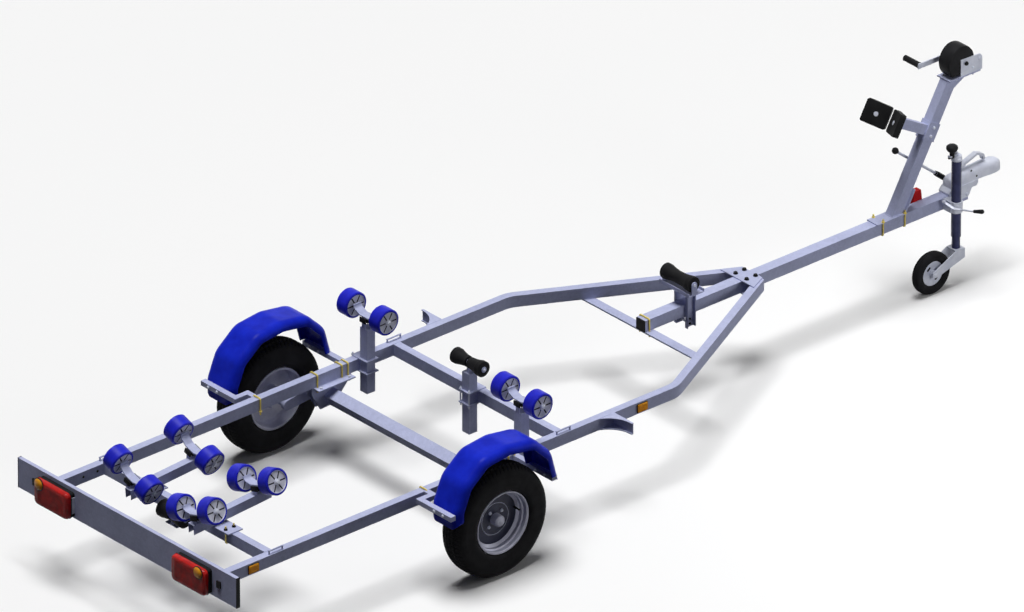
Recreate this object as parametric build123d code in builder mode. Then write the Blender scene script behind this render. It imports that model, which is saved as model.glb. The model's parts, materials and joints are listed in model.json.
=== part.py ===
from build123d import *
import os
from math import cos, radians, sin, tan

os.makedirs("parts", exist_ok=True)

# A single-axle boat trailer, standing on its wheels and its jockey wheel.
# Millimetres; X forward, Y to the left, Z up; the floor is at Z = 0 and
# the origin is on it, under the middle of the whole length and width.

# Overall layout, each X measured from the road-wheel axle
REAR_END = -1613.0
FRONT_END = 3859.0
AXLE_X = -(REAR_END + FRONT_END) / 2

# Frame of rectangular tube
FRAME_TOP = 440.0
RAIL_HIGH = 60.0
RAIL_WIDE = 40.0
RAIL_Y = 591.0
RAIL_REAR = -1545.0
RAIL_BEND = 1300.0
RAIL_FRONT = 2305.0
RAIL_SLOPE = 27.8
BEND_RADIUS = 150.0
TUBE_WALL = 3.0
DRAWBAR = 60.0
DRAWBAR_REAR = 1610.0
DRAWBAR_FRONT = 3640.0
FRAME_BOTTOM = FRAME_TOP - RAIL_HIGH
RAIL_INNER_Y = RAIL_Y - RAIL_WIDE / 2
RAIL_OUTER_Y = RAIL_Y + RAIL_WIDE / 2

# Road wheels and axle
WHEEL_Y = 802.5
TYRE_RADIUS = 283.0
AXLE_TUBE = 60.0
AXLE_TUBE_X = 186.0
AXLE_TUBE_Z = 305.0
AXLE_TURN = 26.0
STUB_RADIUS = 16.0
RUNNING_GAP = 0.05

# Hull rollers on their rocking yokes
ROLLER_RADIUS = 65.0
ROLLER_WIDE = 70.0
ROLLER_PIN = 8.0
YOKE_PIN_DROP = 44.0
YOKE_PIN = 6.0
YOKE_STRAP = 46.0
YOKE_THICK = 6.0
EAR_RADIUS = 12.0

# Keel rollers
KEEL_PIN = 8.0


def ahead(distance):
    """X of a point that lies this far ahead of the road-wheel axle."""
    return AXLE_X + distance


def lengthwise(y):
    """Upright plane along the trailer at this Y: its own axes are X and Z, and it faces right."""
    return Plane.XZ.offset(-y)


def crosswise(distance):
    """Upright plane across the trailer, this far ahead of the axle: axes Y and Z, facing forward."""
    return Plane.YZ.offset(ahead(distance))


def level(z):
    """Level plane at this height, facing up."""
    return Plane.XY.offset(z)


# Side rails: one bent tube on each side, running in to the drawbar
RAIL_NOSE = RAIL_FRONT + 60.0
RAIL_NOSE_Y = RAIL_Y - (RAIL_NOSE - RAIL_BEND) * tan(radians(RAIL_SLOPE))
CLOSED_NOSE = RAIL_FRONT - 30.0
CLOSED_NOSE_Y = RAIL_Y - (CLOSED_NOSE - RAIL_BEND) * tan(radians(RAIL_SLOPE))

for side, label in ((1, "side_rail_left"), (-1, "side_rail_right")):
    with BuildPart() as side_rail:
        with BuildSketch(level(FRAME_BOTTOM)):
            with BuildLine():
                FilletPolyline(
                    (ahead(RAIL_REAR), side * RAIL_Y),
                    (ahead(RAIL_BEND), side * RAIL_Y),
                    (ahead(RAIL_NOSE), side * RAIL_NOSE_Y),
                    radius=BEND_RADIUS,
                )
            trace(line_width=RAIL_WIDE)
        extrude(amount=RAIL_HIGH)
        with BuildSketch(level(FRAME_BOTTOM + TUBE_WALL)):
            with BuildLine():
                FilletPolyline(
                    (ahead(RAIL_REAR), side * RAIL_Y),
                    (ahead(RAIL_BEND), side * RAIL_Y),
                    (ahead(CLOSED_NOSE), side * CLOSED_NOSE_Y),
                    radius=BEND_RADIUS,
                )
            trace(line_width=RAIL_WIDE - 2 * TUBE_WALL)
        extrude(amount=RAIL_HIGH - 2 * TUBE_WALL, mode=Mode.SUBTRACT)
        split(bisect_by=Plane(origin=(ahead(RAIL_FRONT), 0, 0), z_dir=(1, 0, 0)), keep=Keep.BOTTOM)
    side_rail.part.label = label
    export_step(side_rail.part, f"parts/{label}.step")

# Drawbar: square tube, open at the front and plugged at the rear
with BuildPart() as drawbar:
    with BuildSketch(Plane(origin=(ahead(DRAWBAR_REAR), 0, FRAME_TOP - DRAWBAR / 2), z_dir=(1, 0, 0))):
        Rectangle(DRAWBAR, DRAWBAR)
        Rectangle(DRAWBAR - 2 * TUBE_WALL, DRAWBAR - 2 * TUBE_WALL, mode=Mode.SUBTRACT)
    extrude(amount=DRAWBAR_FRONT - DRAWBAR_REAR)
drawbar.part.label = "drawbar"
export_step(drawbar.part, "parts/drawbar.step")

# Crossmembers: two tubes between the rails and a flat brace under the drawbar
REAR_CROSS = -1200.0
MID_CROSS = 572.0
CROSS_WIDE = 40.0
BRACE_REAR = 1610.0
BRACE_WIDE = 50.0
BRACE_THICK = 8.0
BRACE_HALF = RAIL_OUTER_Y - (BRACE_REAR - RAIL_BEND) * tan(radians(RAIL_SLOPE)) - 8.0

with BuildPart() as crossmembers:
    for cross_rear in (REAR_CROSS, MID_CROSS):
        cross_middle = (ahead(cross_rear + CROSS_WIDE / 2), -RAIL_INNER_Y, FRAME_TOP - RAIL_HIGH / 2)
        with BuildSketch(Plane(origin=cross_middle, x_dir=(1, 0, 0), z_dir=(0, 1, 0))):
            Rectangle(CROSS_WIDE, RAIL_HIGH)
            Rectangle(CROSS_WIDE - 2 * TUBE_WALL, RAIL_HIGH - 2 * TUBE_WALL, mode=Mode.SUBTRACT)
        extrude(amount=2 * RAIL_INNER_Y)
    with BuildSketch(level(FRAME_BOTTOM - BRACE_THICK)):
        brace_taper = BRACE_WIDE * tan(radians(RAIL_SLOPE))
        with BuildLine():
            Polyline(
                (ahead(BRACE_REAR), BRACE_HALF),
                (ahead(BRACE_REAR), -BRACE_HALF),
                (ahead(BRACE_REAR + BRACE_WIDE), brace_taper - BRACE_HALF),
                (ahead(BRACE_REAR + BRACE_WIDE), BRACE_HALF - brace_taper),
                close=True,
            )
        make_face()
    extrude(amount=BRACE_THICK)
crossmembers.part.label = "crossmembers"
export_step(crossmembers.part, "parts/crossmembers.step")

# Drawbar plates: the pair that clamps the rails' noses to the drawbar
PLATE_THICK = 6.0
PLATE_REAR = 2210.0
PLATE_HALF_REAR = 118.0
PLATE_HALF_FRONT = 71.0
PLATE_BOLTS_X = (2235.0, 2290.0)
PLATE_BOLT_Y = 39.5
PLATE_BOLT_HOLE = 6.5

with BuildPart() as drawbar_plates:
    for plate_bottom in (FRAME_TOP, FRAME_BOTTOM - PLATE_THICK):
        with BuildSketch(level(plate_bottom)):
            with BuildLine():
                Polyline(
                    (ahead(PLATE_REAR), PLATE_HALF_REAR),
                    (ahead(PLATE_REAR), -PLATE_HALF_REAR),
                    (ahead(RAIL_FRONT), -PLATE_HALF_FRONT),
                    (ahead(RAIL_FRONT), PLATE_HALF_FRONT),
                    close=True,
                )
            make_face()
            plate_holes = [(ahead(x), y) for x in PLATE_BOLTS_X for y in (-PLATE_BOLT_Y, PLATE_BOLT_Y)]
            with Locations(*plate_holes):
                Circle(PLATE_BOLT_HOLE, mode=Mode.SUBTRACT)
        extrude(amount=PLATE_THICK)
drawbar_plates.part.label = "drawbar_plates"
export_step(drawbar_plates.part, "parts/drawbar_plates.step")

# Light board: a pressed channel across the rails' rear ends
BOARD_REAR = -1548.0
BOARD_BOTTOM = 354.0
BOARD_TOP = 509.0
BOARD_HALF = 775.0
BOARD_FLANGE = 20.0
BOARD_SHEET = 3.0

with BuildPart() as light_board:
    with BuildSketch(lengthwise(-BOARD_HALF)):
        with BuildLine():
            Polyline(
                (ahead(BOARD_REAR), BOARD_BOTTOM),
                (ahead(BOARD_REAR + BOARD_FLANGE), BOARD_BOTTOM),
                (ahead(BOARD_REAR + BOARD_FLANGE), BOARD_BOTTOM + BOARD_SHEET),
                (ahead(BOARD_REAR + BOARD_SHEET), BOARD_BOTTOM + BOARD_SHEET),
                (ahead(BOARD_REAR + BOARD_SHEET), BOARD_TOP - BOARD_SHEET),
                (ahead(BOARD_REAR + BOARD_FLANGE), BOARD_TOP - BOARD_SHEET),
                (ahead(BOARD_REAR + BOARD_FLANGE), BOARD_TOP),
                (ahead(BOARD_REAR), BOARD_TOP),
                close=True,
            )
        make_face()
    extrude(amount=-2 * BOARD_HALF)
light_board.part.label = "light_board"
export_step(light_board.part, "parts/light_board.step")

# End caps: black plastic on the light board's ends and in the drawbar's rear end
CAP_WALL = 3.0

with BuildPart() as end_caps:
    for side in (-1, 1):
        with BuildSketch(lengthwise(side * BOARD_HALF)):
            with Locations((ahead(BOARD_REAR + BOARD_FLANGE / 2), (BOARD_BOTTOM + BOARD_TOP) / 2)):
                Rectangle(BOARD_FLANGE + 2, BOARD_TOP - BOARD_BOTTOM + 2)
        extrude(amount=-side * CAP_WALL)
    with BuildSketch(crosswise(DRAWBAR_REAR)):
        with Locations((0, FRAME_TOP - DRAWBAR / 2)):
            RectangleRounded(DRAWBAR, DRAWBAR, 4)
    extrude(amount=-CAP_WALL - 2)
end_caps.part.label = "end_caps"
export_step(end_caps.part, "parts/end_caps.step")

# Tail lamps: a black base on the board, a red lens over it and an amber dome
LAMP_Y = 488.0
LAMP_Z = 425.0
LAMP_LONG = 240.0
LAMP_HIGH = 136.0
LAMP_BASE = 20.0
LAMP_LENS = 45.0

with BuildPart() as lamp_bases:
    with BuildSketch(crosswise(BOARD_REAR)):
        with Locations((LAMP_Y, LAMP_Z), (-LAMP_Y, LAMP_Z)):
            RectangleRounded(LAMP_LONG - 8, LAMP_HIGH - 8, 14)
    extrude(amount=-LAMP_BASE)
lamp_bases.part.label = "lamp_bases"
export_step(lamp_bases.part, "parts/lamp_bases.step")

with BuildPart() as tail_lamps:
    with BuildSketch(crosswise(BOARD_REAR - LAMP_BASE)):
        with Locations((LAMP_Y, LAMP_Z), (-LAMP_Y, LAMP_Z)):
            RectangleRounded(LAMP_LONG, LAMP_HIGH, 20)
    extrude(amount=-LAMP_LENS, taper=12)
tail_lamps.part.label = "tail_lamps"
export_step(tail_lamps.part, "parts/tail_lamps.step")

# Amber lenses: one oblong reflector on each side of each rail's outer face
REFLECTOR_LONG = 60.0
REFLECTOR_HIGH = 40.0
REFLECTOR_THICK = 8.0
REFLECTORS_X = (-1305.0, 1078.0)

with BuildPart() as amber_reflectors:
    for side in (-1, 1):
        with BuildSketch(lengthwise(side * RAIL_OUTER_Y)):
            with Locations(*[(ahead(x), FRAME_TOP - RAIL_HIGH / 2) for x in REFLECTORS_X]):
                RectangleRounded(REFLECTOR_LONG, REFLECTOR_HIGH, 4)
        extrude(amount=-side * REFLECTOR_THICK)
amber_reflectors.part.label = "amber_reflectors"
export_step(amber_reflectors.part, "parts/amber_reflectors.step")

# Side stubs: upright plates outboard of each rail, their flanges running out to nothing
STUB_X = 907.0
STUB_END = 745.0
STUB_SHEET = 4.0
STUB_ROOT = 100.0
STUB_TIP = 12.0
STUB_HOLLOW = 34.0
STUB_HOLLOW_OUT = 52.0

with BuildPart() as side_stubs:
    for side in (-1, 1):
        with BuildSketch(lengthwise(side * RAIL_OUTER_Y)):
            with Locations((ahead(STUB_X - STUB_SHEET / 2), FRAME_TOP - RAIL_HIGH / 2)):
                Rectangle(STUB_SHEET, RAIL_HIGH)
        extrude(amount=-side * (STUB_END - RAIL_OUTER_Y))
        for flange_bottom in (FRAME_BOTTOM, FRAME_TOP - STUB_SHEET):
            with BuildSketch(level(flange_bottom)):
                with BuildLine():
                    Polyline(
                        (ahead(STUB_X - STUB_ROOT), side * RAIL_OUTER_Y),
                        (ahead(STUB_X), side * RAIL_OUTER_Y),
                        (ahead(STUB_X), side * STUB_END),
                        (ahead(STUB_X - STUB_TIP), side * STUB_END),
                    )
                    ThreePointArc(
                        (ahead(STUB_X - STUB_TIP), side * STUB_END),
                        (ahead(STUB_X - STUB_HOLLOW), side * (RAIL_OUTER_Y + STUB_HOLLOW_OUT)),
                        (ahead(STUB_X - STUB_ROOT), side * RAIL_OUTER_Y),
                    )
                make_face()
            extrude(amount=STUB_SHEET)
side_stubs.part.label = "side_stubs"
export_step(side_stubs.part, "parts/side_stubs.step")

# Axle beam: a square tube turned so that its front edge rises
AXLE_HALF = 640.0
AXLE_PLANE = Plane(
    origin=(ahead(AXLE_TUBE_X), -AXLE_HALF, AXLE_TUBE_Z),
    x_dir=(cos(radians(AXLE_TURN)), 0, sin(radians(AXLE_TURN))),
    z_dir=(0, 1, 0),
)

with BuildPart() as axle_beam:
    with BuildSketch(AXLE_PLANE):
        Rectangle(AXLE_TUBE, AXLE_TUBE)
        Rectangle(AXLE_TUBE - 10, AXLE_TUBE - 10, mode=Mode.SUBTRACT)
    extrude(amount=2 * AXLE_HALF)
axle_beam.part.label = "axle_beam"
export_step(axle_beam.part, "parts/axle_beam.step")

# Axle brackets: under each rail a flat plate and a folded gusset that holds the beam
BRACKET_THICK = 6.0
BRACKET_PLATE_REAR = 80.0
BRACKET_PLATE_FRONT = 305.0
BRACKET_PLATE_HALF = 60.0
BRACKET_SHAPE = [
    # ahead of the wheel's axle, above the floor
    (70, FRAME_BOTTOM),
    (310, FRAME_BOTTOM),
    (310, FRAME_BOTTOM - 12),
    (208, 258),
    (122, 254),
    (70, FRAME_BOTTOM - 35),
]
BRACKET_INSIDE = [
    # ahead of the wheel's axle, above the floor
    (60, FRAME_BOTTOM - BRACKET_THICK),
    (320, FRAME_BOTTOM - BRACKET_THICK),
    (320, 240),
    (60, 240),
]

with BuildPart() as axle_brackets:
    for side in (-1, 1):
        bracket_y = side * RAIL_Y - RAIL_WIDE / 2
        with BuildSketch(lengthwise(bracket_y)):
            with BuildLine():
                Polyline(*[(ahead(x), z) for x, z in BRACKET_SHAPE], close=True)
            make_face()
        extrude(amount=-RAIL_WIDE)
        with BuildSketch(lengthwise(bracket_y + BRACKET_THICK)):
            with BuildLine():
                Polyline(*[(ahead(x), z) for x, z in BRACKET_INSIDE], close=True)
            make_face()
        extrude(amount=-(RAIL_WIDE - 2 * BRACKET_THICK), mode=Mode.SUBTRACT)
        with BuildSketch(level(FRAME_BOTTOM - BRACKET_THICK)):
            with Locations((ahead((BRACKET_PLATE_REAR + BRACKET_PLATE_FRONT) / 2), side * RAIL_Y)):
                Rectangle(BRACKET_PLATE_FRONT - BRACKET_PLATE_REAR, 2 * BRACKET_PLATE_HALF)
        extrude(amount=BRACKET_THICK)
    with BuildSketch(AXLE_PLANE):
        Rectangle(AXLE_TUBE, AXLE_TUBE)
    extrude(amount=2 * AXLE_HALF, mode=Mode.SUBTRACT)
axle_brackets.part.label = "axle_brackets"
export_step(axle_brackets.part, "parts/axle_brackets.step")

# Suspension arms: each trails from the beam's end and carries the wheel's stub axle
ARM_INNER = AXLE_HALF
ARM_THICK = 22.0
ARM_Y = 660.0
ARM_ROOT_RADIUS = 32.0
ARM_TIP_RADIUS = 26.0
ARM_SHAFT = 18.0
HUB_INNER = 720.0
HUB_DEPTH = 70.0

with BuildPart() as suspension_arms:
    for side in (-1, 1):
        with BuildSketch(lengthwise(side * ARM_Y)):
            with Locations((ahead(AXLE_TUBE_X), AXLE_TUBE_Z)):
                Circle(ARM_ROOT_RADIUS)
            with Locations((ahead(0), TYRE_RADIUS)):
                Circle(ARM_TIP_RADIUS)
            make_hull()
        extrude(amount=-side * ARM_THICK)
        with BuildSketch(lengthwise(side * ARM_INNER)):
            with Locations((ahead(AXLE_TUBE_X), AXLE_TUBE_Z)):
                Circle(ARM_SHAFT)
        extrude(amount=-side * (ARM_Y - ARM_INNER))
        with BuildSketch(lengthwise(side * (ARM_Y + ARM_THICK))):
            with Locations((ahead(0), TYRE_RADIUS)):
                Circle(STUB_RADIUS)
        extrude(amount=-side * (HUB_INNER + HUB_DEPTH - 5 - ARM_Y - ARM_THICK))
suspension_arms.part.label = "suspension_arms"
export_step(suspension_arms.part, "parts/suspension_arms.step")

# Mudguards: a bent blue shell over each wheel, its side edges rolled down
GUARD_HALF_WIDE = 95.0
GUARD_DEEP = 40.0
GUARD_ROLL = 34.0
GUARD_WALL = 6.0
GUARD_TURN = 100.0
GUARD_CORNER = 70.0
GUARD_BENDS = [
    # along X from the hub, up from the hub
    (-308, 75),
    (-308, 165),
    (-255, 292),
    (-135, 388),
    (15, 405),
    (180, 380),
    (282, 280),
    (322, 130),
]
GUARD_BAR_HIGH = 25.0
FRONT_BAR_REAR = 282.0
FRONT_BAR_FRONT = 312.0
FRONT_BAR_BOTTOM = 411.0
GUARD_SIDE = GUARD_HALF_WIDE - GUARD_WALL / 2
GUARD_EDGE = GUARD_HALF_WIDE + 5.0
GUARD_FOOT = TYRE_RADIUS + GUARD_BENDS[0][1] - 5.0
CORNER_MIDDLE = GUARD_CORNER * (1 - cos(radians(45)))

for side, label in ((1, "mudguard_left"), (-1, "mudguard_right")):
    guard_origin = (ahead(0), side * WHEEL_Y, TYRE_RADIUS)
    with BuildPart() as mudguard:
        with BuildLine(Plane(origin=guard_origin, x_dir=(1, 0, 0), z_dir=(0, -1, 0))) as guard_line:
            FilletPolyline(*GUARD_BENDS, radius=GUARD_TURN)
        guard_path = guard_line.wire()
        with BuildSketch(Plane(origin=guard_path @ 0, x_dir=(0, 1, 0), z_dir=guard_path % 0)):
            with BuildLine():
                FilletPolyline(
                    (-GUARD_SIDE, -GUARD_DEEP),
                    (-GUARD_SIDE, 0),
                    (GUARD_SIDE, 0),
                    (GUARD_SIDE, -GUARD_DEEP),
                    radius=GUARD_ROLL,
                )
            trace(line_width=GUARD_WALL)
        sweep(path=guard_path)
        for edge in (-1, 1):
            edge_y = side * WHEEL_Y + edge * GUARD_EDGE
            with BuildSketch(crosswise(GUARD_BENDS[0][0] - GUARD_DEEP)):
                with BuildLine():
                    Polyline(
                        (edge_y - edge * GUARD_CORNER, GUARD_FOOT),
                        (edge_y, GUARD_FOOT),
                        (edge_y, GUARD_FOOT + GUARD_CORNER),
                    )
                    ThreePointArc(
                        (edge_y, GUARD_FOOT + GUARD_CORNER),
                        (edge_y - edge * CORNER_MIDDLE, GUARD_FOOT + CORNER_MIDDLE),
                        (edge_y - edge * GUARD_CORNER, GUARD_FOOT),
                    )
                make_face()
            extrude(amount=3 * GUARD_DEEP, mode=Mode.SUBTRACT)
        with BuildSketch(level(FRONT_BAR_BOTTOM - 10)):
            with Locations((ahead((FRONT_BAR_REAR + FRONT_BAR_FRONT) / 2 - 5), side * WHEEL_Y)):
                Rectangle(FRONT_BAR_FRONT - FRONT_BAR_REAR + 10, 2 * GUARD_EDGE)
        extrude(amount=GUARD_BAR_HIGH + 10, mode=Mode.SUBTRACT)
    mudguard.part.label = label
    export_step(mudguard.part, f"parts/{label}.step")

# Mudguard brackets: bars from the rails that carry both ends of each guard
GUARD_BARS = [
    # X from, X to, Y from, Y to, bottom
    (-341, -311, 642, 888, 417),
    (-311, -236, 642, 672, 417),
    (-266, -236, RAIL_OUTER_Y, 642, 417),
    (FRONT_BAR_REAR, FRONT_BAR_FRONT, RAIL_OUTER_Y, 886, FRONT_BAR_BOTTOM),
]

with BuildPart() as mudguard_brackets:
    for side in (-1, 1):
        for bar_rear, bar_front, bar_in, bar_out, bar_bottom in GUARD_BARS:
            with BuildSketch(level(bar_bottom)):
                with Locations((ahead((bar_rear + bar_front) / 2), side * (bar_in + bar_out) / 2)):
                    Rectangle(bar_front - bar_rear, bar_out - bar_in)
            extrude(amount=GUARD_BAR_HIGH)
mudguard_brackets.part.label = "mudguard_brackets"
export_step(mudguard_brackets.part, "parts/mudguard_brackets.step")

# Road wheels: tyre, pressed steel rim with its hub
TYRE_HALF = 72.5
TREAD_HALF = 50.0
TYRE_SHOULDER = 262.0
RIM_HALF = 62.0
RIM_RADIUS = 157.0
RIM_BARREL = 151.0
DISC_FACE = 4.0
DISC_THICK = 6.0
HUB_RADIUS = 52.0
HUB_BACK = HUB_INNER - WHEEL_Y
HUB_BORE_END = HUB_INNER + HUB_DEPTH - WHEEL_Y
DOME_RADIUS = 30.0
DOME_LONG = 50.0


def wheel_plane(side):
    """Half-section plane of a road wheel: first coordinate out from the hub, second outboard."""
    return Plane(origin=(ahead(0), side * WHEEL_Y, TYRE_RADIUS), x_dir=(1, 0, 0), z_dir=(0, 0, side))


for side, label in ((1, "left"), (-1, "right")):
    with BuildPart() as road_tyre:
        with BuildSketch(wheel_plane(side)):
            with BuildLine():
                Polyline(
                    (RIM_RADIUS + 1, -TYRE_HALF),
                    (TYRE_SHOULDER, -TYRE_HALF),
                    (TYRE_RADIUS, -TREAD_HALF),
                    (TYRE_RADIUS, TREAD_HALF),
                    (TYRE_SHOULDER, TYRE_HALF),
                    (RIM_RADIUS + 1, TYRE_HALF),
                    close=True,
                )
            make_face()
        revolve(axis=Axis((ahead(0), 0, TYRE_RADIUS), (0, 1, 0)))
    road_tyre.part.label = f"road_tyre_{label}"
    export_step(road_tyre.part, f"parts/road_tyre_{label}.step")

    with BuildPart() as road_rim:
        with BuildSketch(wheel_plane(side)):
            with BuildLine():
                Polyline(
                    (0, HUB_BORE_END),
                    (STUB_RADIUS + RUNNING_GAP, HUB_BORE_END),
                    (STUB_RADIUS + RUNNING_GAP, HUB_BACK),
                    (HUB_RADIUS, HUB_BACK),
                    (HUB_RADIUS, DISC_FACE - DISC_THICK),
                    (136, DISC_FACE - DISC_THICK),
                    (144, -16),
                    (147, -RIM_HALF),
                    (RIM_RADIUS, -RIM_HALF),
                    (RIM_RADIUS, 4 - RIM_HALF),
                    (RIM_BARREL, 4 - RIM_HALF),
                    (RIM_BARREL, RIM_HALF - 4),
                    (RIM_RADIUS, RIM_HALF - 4),
                    (RIM_RADIUS, RIM_HALF),
                    (RIM_BARREL, RIM_HALF),
                    (147, RIM_HALF - 6),
                    (147, 36),
                    (141, 32),
                    (141, 14),
                    (128, DISC_FACE),
                    (83, DISC_FACE),
                    (81, DISC_FACE - 2),
                    (79, DISC_FACE),
                    (DOME_RADIUS, DISC_FACE),
                    (DOME_RADIUS - 2, DOME_LONG - 10),
                    (20, DOME_LONG - 1),
                    (0, DOME_LONG + DISC_FACE),
                    close=True,
                )
            make_face()
        revolve(axis=Axis((ahead(0), 0, TYRE_RADIUS), (0, 1, 0)))
    road_rim.part.label = f"road_rim_{label}"
    export_step(road_rim.part, f"parts/road_rim_{label}.step")

# Roller posts: two beside the rails and one behind the mid crossmember
POST = 50.0
POST_WALL = 3.0
SIDE_POST_X = 391.0
SIDE_POST_Y = RAIL_INNER_Y - POST / 2
SIDE_POST_BOTTOM = 268.0
SIDE_POST_TOP = 606.0
SIDE_PAIR_Z = 687.0
SIDE_PIN_Z = SIDE_PAIR_Z - YOKE_PIN_DROP
KEEL_POST_X = MID_CROSS - POST / 2
KEEL_POST_BOTTOM = 220.0
KEEL_POST_TOP = 532.0
EAR_GAP = 40.0
EAR_THICK = 5.0

with BuildPart() as roller_posts:
    for post_y in (-SIDE_POST_Y, SIDE_POST_Y):
        with BuildSketch(level(SIDE_POST_BOTTOM)):
            with Locations((ahead(SIDE_POST_X), post_y)):
                Rectangle(POST, POST)
                Rectangle(POST - 2 * POST_WALL, POST - 2 * POST_WALL, mode=Mode.SUBTRACT)
        extrude(amount=SIDE_POST_TOP - SIDE_POST_BOTTOM - EAR_THICK)
        with BuildSketch(level(SIDE_POST_TOP - EAR_THICK)):
            with Locations((ahead(SIDE_POST_X), post_y)):
                Rectangle(POST, POST)
        extrude(amount=EAR_THICK)
        for ear_side in (-1, 1):
            with BuildSketch(crosswise(SIDE_POST_X + ear_side * EAR_GAP / 2)):
                with Locations((post_y, SIDE_PIN_Z)):
                    Circle(EAR_RADIUS)
                with Locations((post_y, (SIDE_POST_TOP + SIDE_PIN_Z) / 2 - 1)):
                    Rectangle(2 * EAR_RADIUS, SIDE_PIN_Z - SIDE_POST_TOP + 2)
            extrude(amount=ear_side * EAR_THICK)
        with BuildSketch(crosswise(SIDE_POST_X - EAR_GAP / 2 - 1)):
            with Locations((post_y, SIDE_PIN_Z)):
                Circle(YOKE_PIN)
        extrude(amount=EAR_GAP + 2)
    with BuildSketch(level(KEEL_POST_BOTTOM)):
        with Locations((ahead(KEEL_POST_X), 0)):
            Rectangle(POST, POST)
            Rectangle(POST - 2 * POST_WALL, POST - 2 * POST_WALL, mode=Mode.SUBTRACT)
    extrude(amount=KEEL_POST_TOP - KEEL_POST_BOTTOM)
roller_posts.part.label = "roller_posts"
export_step(roller_posts.part, "parts/roller_posts.step")

# Keel roller brackets: a lug between two half rollers, or at the front a channel with two ears
KEEL_ROLLERS = [
    # name, X from the axle, pin height, roller length, end radius, waist radius, base height
    ("mid", KEEL_POST_X, 586.0, 195.0, 39.0, 27.0, KEEL_POST_TOP),
    ("rear", -1262.0, 430.0, 160.0, 43.0, 36.0, FRAME_BOTTOM - 5),
    ("front", 1850.0, 575.0, 195.0, 39.0, 30.0, 520.0),
]
KEEL_BASE = 5.0
KEEL_EAR = 5.0
KEEL_EAR_WIDE = 32.0
KEEL_SIDE_GAP = 3.0
KEEL_LUG = 6.0
LUG_HALF = 15.0
LUG_ROUND = 18.0
WASHER_RADIUS = 14.0
WASHER_THICK = 3.0
CHANNEL_REAR = 1815.0
CHANNEL_FRONT = 1911.0
CHANNEL_LIP = 14.0
LEG_REAR = 1858.0
LEG_FRONT = 1910.0
LEG_BOTTOM = 318.0
LEG_SHEET = 4.0
LEG_DEEP = 18.0
LEG_HOLES_Z = (334.0, 358.0)

with BuildPart() as keel_brackets:
    for name, x, pin_z, long, end_radius, waist_radius, base_z in KEEL_ROLLERS:
        half = long / 2 + KEEL_SIDE_GAP
        pin_half = half + (KEEL_EAR if name == "front" else WASHER_THICK)
        with BuildSketch(Plane(origin=(ahead(x), -pin_half, pin_z), z_dir=(0, 1, 0))):
            Circle(KEEL_PIN)
        extrude(amount=2 * pin_half)
        if name == "front":
            with BuildSketch(level(base_z)):
                with Locations((ahead((CHANNEL_REAR + CHANNEL_FRONT) / 2), 0)):
                    Rectangle(CHANNEL_FRONT - CHANNEL_REAR, 2 * half + 2 * KEEL_EAR)
            extrude(amount=KEEL_BASE)
            with BuildSketch(level(base_z + KEEL_BASE)):
                with Locations((ahead(CHANNEL_REAR + 2), 0), (ahead(CHANNEL_FRONT - 2), 0)):
                    Rectangle(LEG_SHEET, 2 * half + 2 * KEEL_EAR)
            extrude(amount=CHANNEL_LIP)
            for side in (-1, 1):
                with BuildSketch(lengthwise(side * half)):
                    with Locations((ahead(x), pin_z)):
                        Circle(KEEL_EAR_WIDE / 2)
                    with Locations((ahead(x), (pin_z + base_z) / 2)):
                        Rectangle(KEEL_EAR_WIDE, pin_z - base_z)
                extrude(amount=-side * KEEL_EAR)
                with BuildSketch(level(LEG_BOTTOM)):
                    with Locations((ahead((LEG_REAR + LEG_FRONT) / 2), side * (DRAWBAR + LEG_DEEP) / 2)):
                        Rectangle(LEG_FRONT - LEG_REAR, LEG_DEEP)
                    leg_hollow_y = side * (DRAWBAR / 2 + LEG_SHEET + LEG_DEEP / 2)
                    with Locations((ahead((LEG_REAR + LEG_FRONT) / 2), leg_hollow_y)):
                        Rectangle(LEG_FRONT - LEG_REAR - 2 * LEG_SHEET, LEG_DEEP, mode=Mode.SUBTRACT)
                extrude(amount=base_z - LEG_BOTTOM)
                with BuildSketch(lengthwise(side * DRAWBAR / 2)):
                    with Locations(*[(ahead((LEG_REAR + LEG_FRONT) / 2), z) for z in LEG_HOLES_Z]):
                        Circle(5)
                extrude(amount=-side * LEG_SHEET, mode=Mode.SUBTRACT)
        else:
            with BuildSketch(lengthwise(-KEEL_LUG / 2)):
                with Locations((ahead(x), pin_z)):
                    Circle(LUG_ROUND)
                with Locations((ahead(x), (pin_z + base_z) / 2)):
                    Rectangle(2 * LUG_HALF, pin_z - base_z)
            extrude(amount=-KEEL_LUG)
            for side in (-1, 1):
                with BuildSketch(lengthwise(side * half)):
                    with Locations((ahead(x), pin_z)):
                        Circle(WASHER_RADIUS)
                extrude(amount=-side * WASHER_THICK)
        if name == "mid":
            with BuildSketch(level(base_z)):
                with Locations((ahead(x), 0)):
                    Rectangle(POST, POST)
            extrude(amount=KEEL_BASE)
        if name == "rear":
            with BuildSketch(level(base_z)):
                with Locations((ahead((x - LUG_ROUND + REAR_CROSS + CROSS_WIDE) / 2), 0)):
                    Rectangle(REAR_CROSS + CROSS_WIDE - x + LUG_ROUND, 80)
            extrude(amount=KEEL_BASE)
keel_brackets.part.label = "keel_brackets"
export_step(keel_brackets.part, "parts/keel_brackets.step")

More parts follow.
